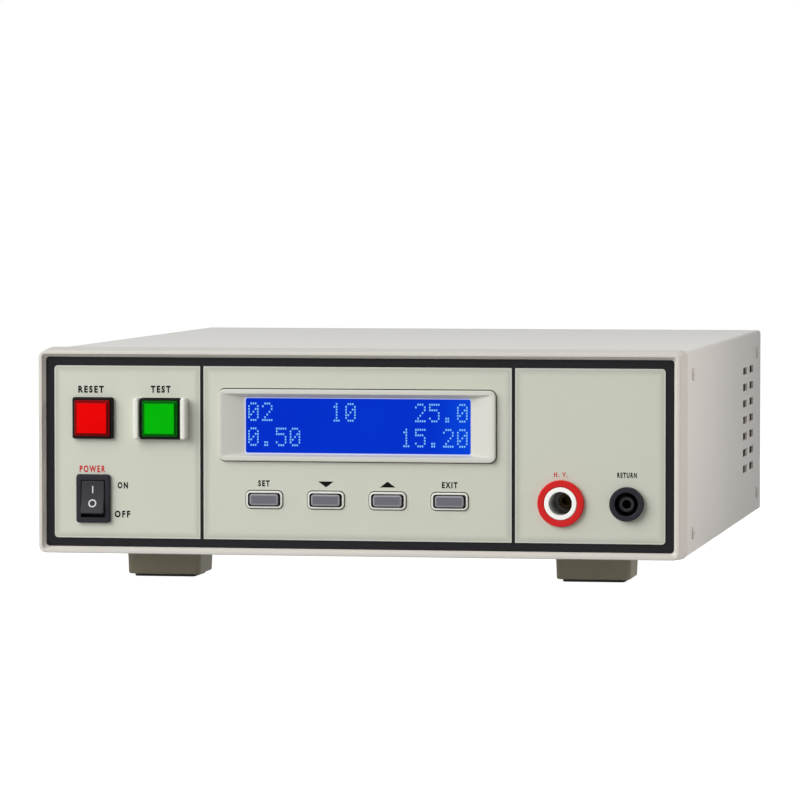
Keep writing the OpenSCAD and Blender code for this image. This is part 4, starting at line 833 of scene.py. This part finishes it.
shroud_r, barrel_r, socket_r, socket_l, post_r, post_in, spring_r = 7.35, 6.0, 5.0, 16.0, 3.2, 1.5, 2.7
low, high, x, z = seat("return_body")
shroud = turned(x, z, ((socket_r, low.y), (shroud_r, low.y), (shroud_r, overlay_y), (barrel_r, overlay_y),
                       (barrel_r, high.y), (spring_r, high.y), (spring_r, low.y + post_in), (post_r, low.y + post_in),
                       (post_r, low.y + socket_l), (socket_r, low.y + socket_l)))
soften(shroud, creases_at(shroud, low.y), 0.5, 4)
place_piece("return_body_moulding", shroud, [black_moulding], "case", ["return_body"])
dress(bare_metal("dark_plating", (0.035, 0.034, 0.034, 1), 0.45, 0.4), "return_contact")


# Front bezel. A moulded frame that widens a little towards its rear edge, with a smooth raised rim that slopes down
# to the front plate on its ledge. Its outer top, bottom and sides are painted darker than its front, as painted shade.
# Four tongues at the back slip under the cover.
low, high = box_mm("front_bezel")
bezel_moulding, tree = new_finish("bezel_moulding")
texture = grain(tree, 0.5)
clouds = grain(tree, 45)
mottle = 0.5 * texture + 0.5 * clouds
# Painted shade: the faces at the bezel's outer edges take a darker tone than its front.
outer_shade_mask = ramp(tree, past_outline(tree, low, high), -1.5, -0.9)
pale, shaded_outer_tone = (tone(tree, mottle, shade, 0.03) for shade in (screen_colour(208, 204, 196), screen_colour(193, 190, 184)))
coat(bezel_moulding, {"Base Color": blend(tree, outer_shade_mask, pale, shaded_outer_tone),
                      "Roughness": 0.38 + 0.14 * texture + 0.06 * clouds, "Specular IOR Level": 0.25,
                      "Normal": bump(tree, texture, 0.01)})
bezel_d, flare, rim_w, rim_d, slope_d, ledge_d, wall_t, pocket_d = 20.0, 1.0, 1.1, 0.6, 1.9, 2.0, 2.0, 12.5
plate_w, plate_h, opening_w, opening_h = 274.4, 82.4, 266.0, 74.0
front_y, back_y = low.y, low.y + bezel_d
bezel = front_block((low.x + flare, front_y, low.z + flare), (high.x - flare, back_y, high.z - flare), 3.0, 0.45, 8, 4)
face, back = front_face(bezel), rear_face(bezel)
resize(bezel, back, high.x - low.x, high.z - low.z)
step(bezel, face, rim_w, 0)
step(bezel, face, 0, -rim_d)
draw_in(bezel, face, plate_w, plate_h, -slope_d)
step(bezel, face, 0, -ledge_d)
draw_in(bezel, face, opening_w, opening_h, 0)
step(bezel, back, wall_t, 0)
step(bezel, back, 0, -pocket_d)
draw_in(bezel, back, opening_w, opening_h, 0)
open_through(bezel, face, back)
soften(bezel, creases_at(bezel, front_y), 0.15, 3)
soften(bezel, creases_at(bezel, back_y), 0.4, 3)
tongue_x, tongue_t, tongue_h, tongue_in, from_below, from_above = 138.25, 1.4, 10.0, 8.0, 9.5, 11.5
for x in (-tongue_x, tongue_x):
    for z in (low.z + from_below, high.z - from_above):
        tongue = block(*around(x, z, tongue_t, tongue_h, back_y - tongue_in, high.y))
        soften(tongue, edges_along(tongue, 0), 1.5, 3)
        join(bezel, tongue)
place_piece("bezel_moulding", bezel, [bezel_moulding], "case", ["front_bezel"])


# Cover. One sheet of painted steel bent over the top and both sides, with two columns of slots in each side near
# the back. Eight pan-head screws with a cross recess hold it to the bezel, the tray and the rear panel.
def pan_head(place, radius, height, turn):
    """A screw head with a cross recess, made facing the front and turned about Z."""
    bm = rod(0, 0, -height, 0, radius, 32)
    soften(bm, front_face(bm).edges, height * 0.7, 4)
    arm, half = radius * 0.55, radius * 0.13
    for normal in (Vector((1, 0, 0)), Vector((0, 0, 1))):
        for distance in (-arm, -half, half, arm):
            bmesh.ops.bisect_plane(bm, geom=bm.verts[:] + bm.edges[:] + bm.faces[:], plane_co=normal * distance,
                                   plane_no=normal)
    bm.normal_update()
    spots = [(f, f.calc_center_median()) for f in bm.faces if f.normal.y < -0.99]
    cross = [f for f, c in spots if max(abs(c.x), abs(c.z)) < arm and min(abs(c.x), abs(c.z)) < half]
    bmesh.ops.inset_region(bm, faces=cross, thickness=0.05, depth=-0.75 * height, use_even_offset=True)
    bmesh.ops.transform(bm, matrix=Matrix.Translation(place) @ Matrix.Rotation(turn, 4, "Z"), verts=bm.verts)
    return bm


dress(case_paint, "top_cover")
axis_in, head_r, head_t, shank_r, shank_tip_r, shank_l = 3.4, 2.8, 0.8, 2.0, 1.9, 7.0
low, high = box_mm("cover_screws")
heads = bmesh.new()
for side, head_x in ((-1, low.x + head_t), (1, high.x - head_t)):
    for y in (low.y + axis_in, high.y - axis_in):
        for z in (low.z + axis_in, high.z - axis_in):
            join(heads, pan_head((head_x, y, z), head_r, head_t, side * math.pi / 2))
            shank = bmesh.new()
            middle = Matrix.Translation((head_x - side * shank_l / 2, y, z))
            bmesh.ops.create_cone(shank, cap_ends=True, segments=20, radius1=shank_r, radius2=shank_tip_r,
                                  depth=shank_l, matrix=middle @ Matrix.Rotation(math.pi / 2, 4, "Y"))
            join(heads, shank)
screw_paint = moulded("screw_paint", screen_colour(206, 203, 197), 0.5, 0.6, 0.01, 0.08, Specular_IOR_Level=0.2)
place_piece("cover_screw_heads", heads, [screw_paint], "case", ["cover_screws"])
